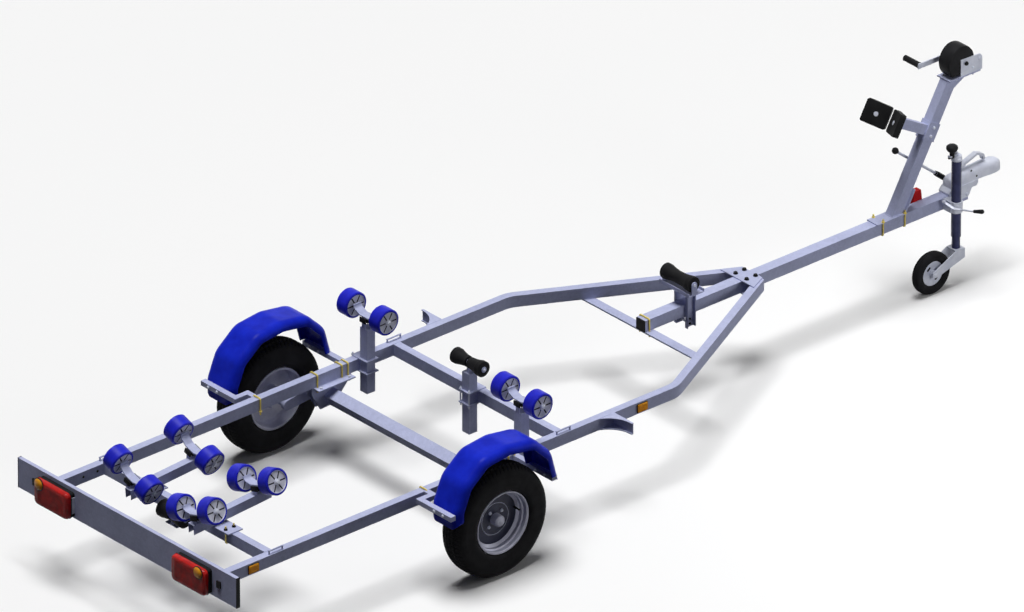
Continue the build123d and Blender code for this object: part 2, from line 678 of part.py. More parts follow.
# Keel rollers: hourglass rollers on the brackets' pins, the mid and rear ones in two halves
for name, x, pin_z, long, end_radius, waist_radius, base_z in KEEL_ROLLERS:
    with BuildPart() as keel_roller:
        with BuildSketch(Plane(origin=(ahead(x), 0, pin_z), x_dir=(1, 0, 0), z_dir=(0, 0, 1))):
            with BuildLine():
                Polyline(
                    (end_radius, -long / 2),
                    (KEEL_PIN + RUNNING_GAP, -long / 2),
                    (KEEL_PIN + RUNNING_GAP, long / 2),
                    (end_radius, long / 2),
                    (end_radius, long / 2 - 22),
                )
                ThreePointArc(
                    (end_radius, long / 2 - 22),
                    (waist_radius, 0),
                    (end_radius, -long / 2 + 22),
                )
                Line((end_radius, -long / 2 + 22), (end_radius, -long / 2))
            make_face()
        revolve(axis=Axis((ahead(x), 0, pin_z), (0, 1, 0)))
        if name != "front":
            with BuildSketch(lengthwise(-KEEL_LUG / 2 - KEEL_SIDE_GAP)):
                with Locations((ahead(x), pin_z)):
                    Circle(end_radius)
            extrude(amount=-KEEL_LUG - 2 * KEEL_SIDE_GAP, mode=Mode.SUBTRACT)
    keel_roller.part.label = f"keel_roller_{name}"
    export_step(keel_roller.part, f"parts/keel_roller_{name}.step")

# Cradles: a rocking channel beam on each side, hung on the rear crossmember
CRADLE_Y = 224.0
CRADLE_PIN_X = -1180.0
CRADLE_PIN_Z = 488.0
CRADLE_REAR = -1350.0
CRADLE_FRONT = -880.0
CRADLE_HIGH = 50.0
CRADLE_WIDE = 40.0
CRADLE_SHEET = 3.0
CRADLE_TILT = 3.7
CRADLE_PIN = 6.0
REAR_PAIR_X = -1316.0
FRONT_PAIR_X = -948.0
REAR_PAIR_Z = 565.0
PAIR_TILT = 18.0
LUG_WIDE = 24.0

with BuildPart() as cradle_mounts:
    for side in (-1, 1):
        with Locations((ahead(CRADLE_PIN_X), side * (CRADLE_Y + 42), FRAME_TOP + 3)):
            Box(90, 150, 6)
        with BuildSketch(lengthwise(side * CRADLE_Y - LUG_WIDE / 2)):
            with Locations((ahead(CRADLE_PIN_X), CRADLE_PIN_Z)):
                Circle(15)
            with Locations((ahead(CRADLE_PIN_X), (CRADLE_PIN_Z + FRAME_TOP + 6) / 2)):
                Rectangle(30, CRADLE_PIN_Z - FRAME_TOP - 6)
        extrude(amount=-LUG_WIDE)
        pin_start = (ahead(CRADLE_PIN_X), side * CRADLE_Y - CRADLE_WIDE / 2 - 4, CRADLE_PIN_Z)
        with BuildSketch(Plane(origin=pin_start, z_dir=(0, 1, 0))):
            Circle(CRADLE_PIN)
        extrude(amount=CRADLE_WIDE + 8)
cradle_mounts.part.label = "cradle_mounts"
export_step(cradle_mounts.part, "parts/cradle_mounts.step")


def cradle_top(distance):
    """Height of the cradle beam's top above the floor, at this distance from the axle."""
    return CRADLE_PIN_Z + 20 + (distance - CRADLE_PIN_X) * tan(radians(CRADLE_TILT))


FRONT_PAIR_Z = REAR_PAIR_Z + (FRONT_PAIR_X - REAR_PAIR_X) * tan(radians(CRADLE_TILT))
PAIRS = [
    # name, X from the axle, Y, height of the pair's line, tilt about X (inner end lower)
    ("rear_left", REAR_PAIR_X, CRADLE_Y, REAR_PAIR_Z, PAIR_TILT),
    ("front_left", FRONT_PAIR_X, CRADLE_Y, FRONT_PAIR_Z, PAIR_TILT),
    ("rear_right", REAR_PAIR_X, -CRADLE_Y, REAR_PAIR_Z, -PAIR_TILT),
    ("front_right", FRONT_PAIR_X, -CRADLE_Y, FRONT_PAIR_Z, -PAIR_TILT),
    ("side_left", SIDE_POST_X, SIDE_POST_Y, SIDE_PAIR_Z, 0.0),
    ("side_right", SIDE_POST_X, -SIDE_POST_Y, SIDE_PAIR_Z, 0.0),
]

for side, label in ((1, "left"), (-1, "right")):
    along = (cos(radians(CRADLE_TILT)), 0, sin(radians(CRADLE_TILT)))
    beam_long = (CRADLE_FRONT - CRADLE_REAR) / cos(radians(CRADLE_TILT))
    beam_top = cradle_top(CRADLE_REAR)
    with BuildPart() as cradle_beam:
        beam_start = (ahead(CRADLE_REAR), side * CRADLE_Y, beam_top)
        with BuildSketch(Plane(origin=beam_start, x_dir=(0, 1, 0), z_dir=along)):
            with Locations((0, -CRADLE_HIGH / 2)):
                Rectangle(CRADLE_WIDE, CRADLE_HIGH)
            with Locations((0, -CRADLE_HIGH / 2 - CRADLE_SHEET)):
                Rectangle(CRADLE_WIDE - 2 * CRADLE_SHEET, CRADLE_HIGH, mode=Mode.SUBTRACT)
        extrude(amount=beam_long)
        for pair_x, pair_z in ((REAR_PAIR_X, REAR_PAIR_Z), (FRONT_PAIR_X, FRONT_PAIR_Z)):
            pin_z = pair_z - YOKE_PIN_DROP * cos(radians(PAIR_TILT))
            pin_y = side * (CRADLE_Y + YOKE_PIN_DROP * sin(radians(PAIR_TILT)))
            foot_z = cradle_top(pair_x) - 4
            for ear_side in (-1, 1):
                with BuildSketch(crosswise(pair_x + ear_side * EAR_GAP / 2)):
                    with Locations((pin_y, pin_z)):
                        Circle(EAR_RADIUS)
                    with Locations((pin_y, (foot_z + pin_z) / 2)):
                        Rectangle(2 * EAR_RADIUS, pin_z - foot_z)
                extrude(amount=ear_side * EAR_THICK)
            yoke_pin = (ahead(pair_x) - EAR_GAP / 2 - 1, pin_y, pin_z)
            with BuildSketch(Plane(origin=yoke_pin, z_dir=(1, 0, 0))):
                Circle(YOKE_PIN)
            extrude(amount=EAR_GAP + 2)
        pin_bore = (ahead(CRADLE_PIN_X), side * CRADLE_Y - CRADLE_WIDE, CRADLE_PIN_Z)
        with BuildSketch(Plane(origin=pin_bore, z_dir=(0, 1, 0))):
            Circle(CRADLE_PIN + RUNNING_GAP)
        extrude(amount=2 * CRADLE_WIDE, mode=Mode.SUBTRACT)
    cradle_beam.part.label = f"cradle_beam_{label}"
    export_step(cradle_beam.part, f"parts/cradle_beam_{label}.step")

# Yokes and their roller pairs: a bent strap rocks on the pin, a roller at each end
HALF_SPACING = 115.0
ROLLER_BEVEL = 4.0
HUB_RECESS = 4.0
HUB_EDGE = 53.0
HUB_BOSS = 12.0
SLOT_LONG = 34.0
SLOT_WIDE = 5.0
SLOT_AT = 33.0
ROLLER_SECTION = [
    # out from the pin's axis, out from the roller's inner face
    (ROLLER_PIN + RUNNING_GAP, 0),
    (HUB_BOSS, 0),
    (HUB_BOSS, HUB_RECESS),
    (HUB_EDGE, HUB_RECESS),
    (HUB_EDGE, 0),
    (ROLLER_RADIUS - ROLLER_BEVEL, 0),
    (ROLLER_RADIUS, ROLLER_BEVEL),
    (ROLLER_RADIUS, ROLLER_WIDE - ROLLER_BEVEL),
    (ROLLER_RADIUS - ROLLER_BEVEL, ROLLER_WIDE),
    (HUB_EDGE, ROLLER_WIDE),
    (HUB_EDGE, ROLLER_WIDE - HUB_RECESS),
    (HUB_BOSS, ROLLER_WIDE - HUB_RECESS),
    (HUB_BOSS, ROLLER_WIDE),
    (ROLLER_PIN + RUNNING_GAP, ROLLER_WIDE),
]
STRAP_REACH = HALF_SPACING - ROLLER_WIDE / 2 - 4.0
YOKE_BOSS = 36.0

for name, x, y, pair_z, tilt in PAIRS:
    turn = radians(tilt)
    pair_plane = Plane(origin=(ahead(x), y, pair_z), x_dir=(0, cos(turn), sin(turn)), z_dir=(1, 0, 0))
    strap_plane = pair_plane.offset(-YOKE_STRAP / 2)
    boss_plane = pair_plane.offset(-YOKE_BOSS / 2)
    with BuildPart() as yoke:
        with BuildSketch(strap_plane):
            with BuildLine():
                FilletPolyline(
                    (-STRAP_REACH + 3, 16),
                    (-STRAP_REACH + 3, -2),
                    (-28, -22),
                    (28, -22),
                    (STRAP_REACH - 3, -2),
                    (STRAP_REACH - 3, 16),
                    radius=22,
                )
            trace(line_width=YOKE_THICK)
        extrude(amount=YOKE_STRAP)
        with BuildSketch(boss_plane):
            with Locations((0, -YOKE_PIN_DROP)):
                Circle(EAR_RADIUS)
            with Locations((0, -YOKE_PIN_DROP / 2 - 12)):
                Rectangle(2 * EAR_RADIUS, YOKE_PIN_DROP - 24)
        extrude(amount=YOKE_BOSS)
        with BuildSketch(boss_plane):
            with Locations((0, -YOKE_PIN_DROP)):
                Circle(YOKE_PIN + RUNNING_GAP)
        extrude(amount=YOKE_BOSS, mode=Mode.SUBTRACT)
        for end in (-1, 1):
            pin_root = pair_plane.from_local_coords((end * (STRAP_REACH - 4), 0, 0))
            with BuildSketch(Plane(origin=pin_root, z_dir=(0, end * cos(turn), end * sin(turn)))):
                Circle(ROLLER_PIN)
            extrude(amount=ROLLER_WIDE + 14)
    yoke.part.label = f"yoke_{name}"
    export_step(yoke.part, f"parts/yoke_{name}.step")

    with BuildPart() as roller_pair:
        for end in (-1, 1):
            outward = (0, end * cos(turn), end * sin(turn))
            face_middle = pair_plane.from_local_coords((end * (HALF_SPACING - ROLLER_WIDE / 2), 0, 0))
            section_facing = (0, end * sin(turn), -end * cos(turn))
            with BuildSketch(Plane(origin=face_middle, x_dir=(1, 0, 0), z_dir=section_facing)):
                with BuildLine():
                    Polyline(*[(out, -along) for out, along in ROLLER_SECTION], close=True)
                make_face()
            revolve(axis=Axis(face_middle, outward))
            with BuildSketch(Plane(origin=face_middle, x_dir=(1, 0, 0), z_dir=outward)):
                with PolarLocations(SLOT_AT, 6):
                    SlotOverall(SLOT_LONG, SLOT_WIDE)
            extrude(amount=ROLLER_WIDE, mode=Mode.SUBTRACT)
    roller_pair.part.label = f"hull_rollers_{name}"
    export_step(roller_pair.part, f"parts/hull_rollers_{name}.step")

# Post clamps: plates round each post, above and below the tube that it is held to
CLAMP_THICK = 5.0
CLAMP_PAST = 12.0
CLAMP_OUTER = RAIL_OUTER_Y + 8.0
CLAMP_FRONT = MID_CROSS + CROSS_WIDE + 5.0
SIDE_CLAMP_INNER = SIDE_POST_Y - POST / 2 - CLAMP_PAST
MID_CLAMP_REAR = KEEL_POST_X - POST / 2 - CLAMP_PAST

with BuildPart() as clamp_plates:
    for clamp_bottom in (FRAME_TOP, FRAME_BOTTOM - CLAMP_THICK):
        with BuildSketch(level(clamp_bottom)):
            for side in (-1, 1):
                with Locations((ahead(SIDE_POST_X), side * (SIDE_CLAMP_INNER + CLAMP_OUTER) / 2)):
                    Rectangle(POST + 2 * CLAMP_PAST, CLAMP_OUTER - SIDE_CLAMP_INNER)
                with Locations((ahead(SIDE_POST_X), side * SIDE_POST_Y)):
                    Rectangle(POST, POST, mode=Mode.SUBTRACT)
            with Locations((ahead((MID_CLAMP_REAR + CLAMP_FRONT) / 2), 0)):
                Rectangle(CLAMP_FRONT - MID_CLAMP_REAR, POST + 2 * CLAMP_PAST)
            with Locations((ahead(KEEL_POST_X), 0)):
                Rectangle(POST, POST, mode=Mode.SUBTRACT)
        extrude(amount=CLAMP_THICK)
clamp_plates.part.label = "clamp_plates"
export_step(clamp_plates.part, "parts/clamp_plates.step")

# Lashing eyes: round-bar loops welded on the rails
EYE_BAR = 4.0
EYES_X = (-1160.0, 600.0)

with BuildPart() as lashing_eyes:
    for side in (-1, 1):
        for eye_x in EYES_X:
            eye_y = side * (RAIL_OUTER_Y - 10)
            with BuildSketch(level(FRAME_TOP)):
                with Locations((ahead(eye_x - 40), eye_y), (ahead(eye_x + 40), eye_y)):
                    Circle(EYE_BAR)
            extrude(amount=18)
            bar_start = (ahead(eye_x - 44), eye_y, FRAME_TOP + 18)
            with BuildSketch(Plane(origin=bar_start, z_dir=(1, 0, 0))):
                Circle(EYE_BAR)
            extrude(amount=88)
lashing_eyes.part.label = "lashing_eyes"
export_step(lashing_eyes.part, "parts/lashing_eyes.step")

# Winch post: a leaning tube on a base plate, a plate on the front of its foot, a deck on top
POST_FOOT = 3194.0
POST_LEAN = 29.6
POST_TOP_Z = 1052.0
POST_DEEP = 60.0
POST_WIDE = 50.0
BASE_REAR = 3060.0
BASE_FRONT = 3260.0
BASE_WIDE = 76.0
BASE_THICK = 6.0
FOOT_PLATE_TOP = 570.0
WINCH_BASE_REAR = 3504.0
WINCH_BASE_FRONT = 3698.0
WINCH_BASE_HALF = 46.0
WEB_THICK = 5.0
WEB_DROP = 92.0
WEB_FRONT = 3685.0
LEAN = (sin(radians(POST_LEAN)), 0, cos(radians(POST_LEAN)))
POST_LONG = (POST_TOP_Z - FRAME_TOP) / cos(radians(POST_LEAN))
FOOT_PLATE_LONG = (FOOT_PLATE_TOP - FRAME_TOP) / cos(radians(POST_LEAN))
POST_BURIED = 40.0
POST_PLANE = Plane(origin=(ahead(POST_FOOT), 0, FRAME_TOP), x_dir=(0, 1, 0), z_dir=LEAN)


def post_front(z):
    """How far ahead of the axle the leaning post's front face is at this height."""
    half_deep = POST_DEEP / 2 / cos(radians(POST_LEAN))
    return POST_FOOT + (z - FRAME_TOP) * tan(radians(POST_LEAN)) + half_deep


with BuildPart() as winch_post:
    with BuildSketch(POST_PLANE.offset(-POST_BURIED)):
        Rectangle(POST_WIDE, POST_DEEP)
        Rectangle(POST_WIDE - 2 * TUBE_WALL, POST_DEEP - 2 * TUBE_WALL, mode=Mode.SUBTRACT)
    extrude(amount=POST_LONG + 2 * POST_BURIED)
    with BuildSketch(POST_PLANE.offset(-POST_BURIED)):
        with Locations((0, -(POST_DEEP + BASE_THICK) / 2)):
            Rectangle(BASE_WIDE, BASE_THICK)
    extrude(amount=FOOT_PLATE_LONG + POST_BURIED)
    split(bisect_by=level(FRAME_TOP + BASE_THICK), keep=Keep.TOP)
    split(bisect_by=level(POST_TOP_Z), keep=Keep.BOTTOM)
    with BuildSketch(lengthwise(-WEB_THICK / 2)):
        with BuildLine():
            Polyline(
                (ahead(post_front(POST_TOP_Z)), POST_TOP_Z),
                (ahead(WEB_FRONT), POST_TOP_Z),
                (ahead(post_front(POST_TOP_Z - WEB_DROP)), POST_TOP_Z - WEB_DROP),
                close=True,
            )
        make_face()
    extrude(amount=-WEB_THICK)
    with BuildSketch(level(FRAME_TOP)):
        with Locations((ahead((BASE_REAR + BASE_FRONT) / 2), 0)):
            Rectangle(BASE_FRONT - BASE_REAR, BASE_WIDE)
    extrude(amount=BASE_THICK)
    with BuildSketch(level(POST_TOP_Z)):
        with Locations((ahead((WINCH_BASE_REAR + WINCH_BASE_FRONT) / 2), 0)):
            Rectangle(WINCH_BASE_FRONT - WINCH_BASE_REAR, 2 * WINCH_BASE_HALF)
    extrude(amount=BASE_THICK)
winch_post.part.label = "winch_post"
export_step(winch_post.part, "parts/winch_post.step")

# Winch: a frame of two side plates, the drum with its crank, and a closed hood between the plates
DRUM_X = 3604.0
DRUM_Z = 1123.0
DRUM_PIN = 8.0
DRUM_RADIUS = 30.0
DRUM_HALF = 30.0
FRAME_HALF = 44.0
FRAME_SHEET = 4.0
FRAME_REAR = 3575.0
FRAME_FRONT = 3710.0
HOOD_HALF = FRAME_HALF - FRAME_SHEET
HOOD_SHEET = 3.0
HOOD_WALL = 5.0
HOOD_HOLE = 14.0
CRANK_LONG = 180.0
CRANK_WIDE = 26.0
CRANK_THICK = 6.0
CRANK_OUT = FRAME_HALF + 28.0
GRIP_LONG = 106.0
WINCH_DECK = POST_TOP_Z + BASE_THICK
HOOD_BOTTOM = WINCH_DECK + FRAME_SHEET
HOOD_ARC = [
    # ahead of the wheel's axle, above the floor
    (3506, HOOD_BOTTOM),
    (3508, 1178),
    (3603, 1242),
]
HOOD_BROW = (3666, 1147)

with BuildPart() as winch_frame:
    for side in (-1, 1):
        with BuildSketch(lengthwise(side * FRAME_HALF)):
            with BuildLine():
                Polyline(
                    (ahead(FRAME_REAR), WINCH_DECK),
                    (ahead(FRAME_REAR), 1147),
                    (ahead(FRAME_FRONT - 14), 1143),
                    (ahead(FRAME_FRONT), 1125),
                    (ahead(FRAME_FRONT), WINCH_DECK),
                    close=True,
                )
            make_face()
            with Locations((ahead(DRUM_X), DRUM_Z)):
                Circle(DRUM_PIN + RUNNING_GAP, mode=Mode.SUBTRACT)
        extrude(amount=side * FRAME_SHEET)
    with BuildSketch(level(WINCH_DECK)):
        with Locations((ahead((FRAME_REAR + FRAME_FRONT) / 2), 0)):
            Rectangle(FRAME_FRONT - FRAME_REAR, 2 * FRAME_HALF)
    extrude(amount=FRAME_SHEET)
winch_frame.part.label = "winch_frame"
export_step(winch_frame.part, "parts/winch_frame.step")

with BuildPart() as winch_drum:
    with BuildSketch(lengthwise(-FRAME_HALF - 6)):
        with Locations((ahead(DRUM_X), DRUM_Z)):
            Circle(DRUM_PIN)
    extrude(amount=-(FRAME_HALF + 6 + CRANK_OUT + CRANK_THICK + 6))
    with BuildSketch(lengthwise(-DRUM_HALF)):
        with Locations((ahead(DRUM_X), DRUM_Z)):
            Circle(DRUM_RADIUS)
    extrude(amount=-2 * DRUM_HALF)
    with BuildSketch(lengthwise(CRANK_OUT)):
        with Locations((ahead(DRUM_X - CRANK_LONG / 2), DRUM_Z)):
            Rectangle(CRANK_LONG + CRANK_WIDE, CRANK_WIDE)
    extrude(amount=-CRANK_THICK)
    with BuildSketch(lengthwise(CRANK_OUT + CRANK_THICK)):
        with Locations((ahead(DRUM_X - CRANK_LONG), DRUM_Z)):
            Circle(CRANK_WIDE / 2)
    extrude(amount=-GRIP_LONG)
winch_drum.part.label = "winch_drum"
export_step(winch_drum.part, "parts/winch_drum.step")

with BuildPart() as winch_guard:
    with BuildSketch(lengthwise(-HOOD_HALF)):
        with BuildLine():
            ThreePointArc(*[(ahead(x), z) for x, z in HOOD_ARC])
            Polyline(
                (ahead(HOOD_ARC[2][0]), HOOD_ARC[2][1]),
                (ahead(HOOD_BROW[0]), HOOD_BROW[1]),
                (ahead(HOOD_BROW[0]), HOOD_BOTTOM),
                (ahead(HOOD_ARC[0][0]), HOOD_BOTTOM),
            )
        make_face()
    extrude(amount=-2 * HOOD_HALF)
    with BuildSketch(lengthwise(HOOD_SHEET - HOOD_HALF)):
        with BuildLine():
            ThreePointArc(
                (ahead(HOOD_ARC[0][0] + HOOD_WALL), HOOD_BOTTOM),
                (ahead(HOOD_ARC[1][0] + HOOD_WALL), HOOD_ARC[1][1] - HOOD_WALL),
                (ahead(HOOD_ARC[2][0]), HOOD_ARC[2][1] - HOOD_WALL - 4),
            )
            Polyline(
                (ahead(HOOD_ARC[2][0]), HOOD_ARC[2][1] - HOOD_WALL - 4),
                (ahead(HOOD_BROW[0] - HOOD_WALL), HOOD_BROW[1] - 2),
                (ahead(HOOD_BROW[0] - HOOD_WALL), HOOD_BOTTOM),
                (ahead(HOOD_ARC[0][0] + HOOD_WALL), HOOD_BOTTOM),
            )
        make_face()
    extrude(amount=-2 * (HOOD_HALF - HOOD_SHEET), mode=Mode.SUBTRACT)
    with BuildSketch(lengthwise(-HOOD_HALF)):
        with Locations((ahead(DRUM_X), DRUM_Z)):
            Circle(HOOD_HOLE)
    extrude(amount=-2 * HOOD_HALF, mode=Mode.SUBTRACT)
winch_guard.part.label = "winch_guard"
export_step(winch_guard.part, "parts/winch_guard.step")

# Bow stop: an arm square to the winch post that carries two pads in a V
CLAMP_ALONG = 434.0
ARM_REACH = 250.0
PAD_REACH = 303.0
PAD_Y = 69.0
PAD_TURN = 31.0
PAD_WIDE = 129.0
PAD_TALL = 115.0
PAD_THICK = 30.0
CLAMP_AT = (
    ahead(POST_FOOT) + CLAMP_ALONG * LEAN[0],
    0,
    FRAME_TOP + CLAMP_ALONG * LEAN[2],
)
ARM_AXIS = (-cos(radians(POST_LEAN)), 0, sin(radians(POST_LEAN)))
ARM_PLANE = Plane(origin=CLAMP_AT, x_dir=(0, 1, 0), z_dir=ARM_AXIS)

with BuildPart() as bow_arm:
    with BuildSketch(ARM_PLANE.offset(-POST_DEEP / 2 - 5)):
        Rectangle(POST_WIDE + 10, 90)
    extrude(amount=POST_DEEP + 10)
    with BuildSketch(ARM_PLANE.offset(-POST_DEEP / 2)):
        Rectangle(POST_WIDE, 200)
    extrude(amount=POST_DEEP, mode=Mode.SUBTRACT)
    with BuildSketch(ARM_PLANE.offset(POST_DEEP / 2)):
        Rectangle(40, 50)
        Rectangle(34, 44, mode=Mode.SUBTRACT)
    extrude(amount=ARM_REACH - POST_DEEP / 2)
bow_arm.part.label = "bow_arm"
export_step(bow_arm.part, "parts/bow_arm.step")

with BuildPart() as bow_pads:
    for side in (-1, 1):
        pad_middle = ARM_PLANE.from_local_coords((side * PAD_Y, 0, PAD_REACH))
        pad_outer = ARM_PLANE.from_local_coords(
            (side * (PAD_Y + cos(radians(PAD_TURN))), 0, PAD_REACH + sin(radians(PAD_TURN)))
        )
        pad_across = pad_outer - pad_middle
        pad_normal = pad_across.cross(ARM_PLANE.y_dir)
        pad_plane = Plane(origin=pad_middle, x_dir=pad_across, z_dir=pad_normal)
        with BuildSketch(pad_plane.offset(-PAD_THICK / 2)):
            RectangleRounded(PAD_WIDE, PAD_TALL, 10)
        extrude(amount=PAD_THICK)
bow_pads.part.label = "bow_pads"
export_step(bow_pads.part, "parts/bow_pads.step")

# Coupling: a pressed head on a housing at the drawbar's front end, and its lifting handle
HEAD_REAR = 3465.0
HEAD_BOTTOM = 469.0
HEAD_TOP = 545.0
HEAD_NECK = 34.0
HEAD_HALF = 40.0
HEAD_ROUND = 10.0
NECK_FRONT = 3729.0
CHEEK_REAR = 3774.0
BALL_RADIUS = 25.0
BALL_FIT = 0.5
BALL_X = 3819.0
BALL_Z = HEAD_BOTTOM + 20.0
HOUSING_HALF = 38.0
HOUSING_REAR = 3438.0
HOUSING_FRONT = 3700.0
CHEEK_SHAPE = [
    # ahead of the wheel's axle, above the floor
    (3560, HEAD_BOTTOM),
    (3560, 398),
    (3648, 398),
    (HOUSING_FRONT, FRAME_TOP),
    (HOUSING_FRONT, HEAD_BOTTOM),
]
BOSS_X = 3534.0
BOSS_Z = 510.0
BOSS_RADIUS = 9.0
HANDLE_BENDS = [
    # ahead of the wheel's axle, above the floor
    (3607, 535),
    (3640, 565),
    (3712, 590),
    (3752, 572),
    (3760, 535),
]
HANDLE_THICK = 12.0
HANDLE_WIDE = 26.0

with BuildPart() as coupling_head:
    with BuildSketch(level(HEAD_BOTTOM)):
        with BuildLine():
            Polyline(
                (ahead(HEAD_REAR), -HEAD_NECK),
                (ahead(NECK_FRONT), -HEAD_NECK),
                (ahead(CHEEK_REAR), -HEAD_HALF),
                (ahead(BALL_X), -HEAD_HALF),
            )
            ThreePointArc(
                (ahead(BALL_X), -HEAD_HALF),
                (ahead(FRONT_END), 0),
                (ahead(BALL_X), HEAD_HALF),
            )
            Polyline(
                (ahead(BALL_X), HEAD_HALF),
                (ahead(CHEEK_REAR), HEAD_HALF),
                (ahead(NECK_FRONT), HEAD_NECK),
                (ahead(HEAD_REAR), HEAD_NECK),
                (ahead(HEAD_REAR), -HEAD_NECK),
            )
        make_face()
    extrude(amount=HEAD_TOP - HEAD_BOTTOM)
    fillet(coupling_head.faces().sort_by(Axis.Z)[-1].edges(), radius=HEAD_ROUND)
    with Locations((ahead(BALL_X), 0, BALL_Z)):
        Sphere(BALL_RADIUS + BALL_FIT, mode=Mode.SUBTRACT)
    with BuildSketch(level(HEAD_BOTTOM)):
        with Locations((ahead(BALL_X), 0)):
            Circle(BALL_RADIUS + BALL_FIT)
    extrude(amount=BALL_Z - HEAD_BOTTOM, mode=Mode.SUBTRACT)
    with BuildSketch(lengthwise(HEAD_NECK)):
        with Locations((ahead(BOSS_X), BOSS_Z)):
            Circle(BOSS_RADIUS)
    extrude(amount=HEAD_NECK - HOUSING_HALF)
coupling_head.part.label = "coupling_head"
export_step(coupling_head.part, "parts/coupling_head.step")

with BuildPart() as coupling_housing:
    with BuildSketch(level(FRAME_TOP)):
        with Locations((ahead((HOUSING_REAR + HOUSING_FRONT) / 2), 0)):
            Rectangle(HOUSING_FRONT - HOUSING_REAR, 2 * HOUSING_HALF)
    extrude(amount=HEAD_BOTTOM - FRAME_TOP)
    for side in (-1, 1):
        with BuildSketch(lengthwise(side * HOUSING_HALF)):
            with BuildLine():
                Polyline(*[(ahead(x), z) for x, z in CHEEK_SHAPE], close=True)
            make_face()
        extrude(amount=side * (HOUSING_HALF - DRAWBAR / 2))
coupling_housing.part.label = "coupling_housing"
export_step(coupling_housing.part, "parts/coupling_housing.step")

with BuildPart() as coupling_handle:
    with BuildSketch(lengthwise(-HANDLE_WIDE / 2)):
        with BuildLine():
            FilletPolyline(*[(ahead(x), z) for x, z in HANDLE_BENDS], radius=14)
        trace(line_width=HANDLE_THICK)
    extrude(amount=-HANDLE_WIDE)
    split(bisect_by=level(HEAD_TOP), keep=Keep.TOP)
coupling_handle.part.label = "coupling_handle"
export_step(coupling_handle.part, "parts/coupling_handle.step")

# Red block: a wedge of unknown use on the drawbar's left face, behind the coupling
BLOCK_BOTTOM = 410.0
BLOCK_DEEP = 34.0
BLOCK_SHAPE = [
    # ahead of the wheel's axle, above the floor
    (3345, BLOCK_BOTTOM),
    (3405, BLOCK_BOTTOM),
    (3395, 492),
    (3350, 492),
]

with BuildPart() as red_block:
    with BuildSketch(lengthwise(DRAWBAR / 2)):
        with BuildLine():
            Polyline(*[(ahead(x), z) for x, z in BLOCK_SHAPE], close=True)
        make_face()
    extrude(amount=-BLOCK_DEEP)
red_block.part.label = "red_block"
export_step(red_block.part, "parts/red_block.step")

# Hand lever: a bare rod with a ball knob on the left of the winch post
LEVER_Y = 50.0
LEVER_FOOT = (ahead(3550), LEVER_Y, 497.0)
LEVER_RISE = 39.0
LEVER_LONG = 390.0
KNOB = 16.0
KNOB_NECK = LEVER_LONG - (KNOB**2 - 7**2) ** 0.5

LEVER_AXIS = (-cos(radians(LEVER_RISE)), 0, sin(radians(LEVER_RISE)))

LEVER_PLANE = Plane(origin=LEVER_FOOT, x_dir=(0, 1, 0), z_dir=(LEVER_AXIS[2], 0, -LEVER_AXIS[0]))

with BuildPart() as hand_lever:
    with BuildSketch(LEVER_PLANE):
        with BuildLine():
            Polyline((0, LEVER_LONG + KNOB), (0, 0), (12, 0), (12, 60), (7, 60), (7, KNOB_NECK))
            ThreePointArc((7, KNOB_NECK), (KNOB, LEVER_LONG), (0, LEVER_LONG + KNOB))
        make_face()
    revolve(axis=Axis(LEVER_FOOT, LEVER_AXIS))
hand_lever.part.label = "hand_lever"
export_step(hand_lever.part, "parts/hand_lever.step")

# Jockey wheel: clamp and outer tube on the drawbar, inner tube, swivelling fork and wheel
JOCKEY_X = 3515.0
JOCKEY_Y = -85.0
OUTER_RADIUS = 24.0
INNER_RADIUS = 20.0
OUTER_BOTTOM = 250.0
OUTER_TOP = 660.0
INNER_BOTTOM = 190.0
INNER_TOP = 560.0
JOCKEY_RADIUS = 108.0
JOCKEY_WIDE = 50.0
JOCKEY_TRAIL = 157.0

with BuildPart() as jockey_clamp:
    with BuildSketch(level(FRAME_TOP - 58)):
        with Locations((ahead(JOCKEY_X), JOCKEY_Y)):
            Circle(OUTER_RADIUS + 7)
        with Locations((ahead(JOCKEY_X), (JOCKEY_Y - DRAWBAR / 2) / 2)):
            Rectangle(70, -JOCKEY_Y - DRAWBAR / 2)
        with Locations((ahead(JOCKEY_X), JOCKEY_Y)):
            Circle(OUTER_RADIUS, mode=Mode.SUBTRACT)
    extrude(amount=56)
jockey_clamp.part.label = "jockey_clamp"
export_step(jockey_clamp.part, "parts/jockey_clamp.step")

with BuildPart() as jockey_tube:
    with BuildSketch(level(OUTER_BOTTOM)):
        with Locations((ahead(JOCKEY_X), JOCKEY_Y)):
            Circle(OUTER_RADIUS)
            Circle(INNER_RADIUS + RUNNING_GAP, mode=Mode.SUBTRACT)
    extrude(amount=OUTER_TOP - OUTER_BOTTOM)
    with BuildSketch(level(OUTER_TOP)):
        with Locations((ahead(JOCKEY_X), JOCKEY_Y)):
            Circle(OUTER_RADIUS + 3)
    extrude(amount=22)
    with Locations((ahead(JOCKEY_X) - 18, JOCKEY_Y, OUTER_TOP + 26)):
        Box(64, 20, 8)
    with BuildSketch(level(OUTER_TOP + 28)):
        with Locations((ahead(JOCKEY_X) - 38, JOCKEY_Y)):
            Circle(13)
    extrude(amount=30)
    with Locations((ahead(JOCKEY_X) - 38, JOCKEY_Y, OUTER_TOP + 66)):
        Sphere(29)
jockey_tube.part.label = "jockey_tube"
export_step(jockey_tube.part, "parts/jockey_tube.step")

with BuildPart() as jockey_inner_tube:
    with BuildSketch(level(INNER_BOTTOM)):
        with Locations((ahead(JOCKEY_X), JOCKEY_Y)):
            Circle(INNER_RADIUS)
    extrude(amount=INNER_TOP - INNER_BOTTOM)
jockey_inner_tube.part.label = "jockey_inner_tube"
export_step(jockey_inner_tube.part, "parts/jockey_inner_tube.step")

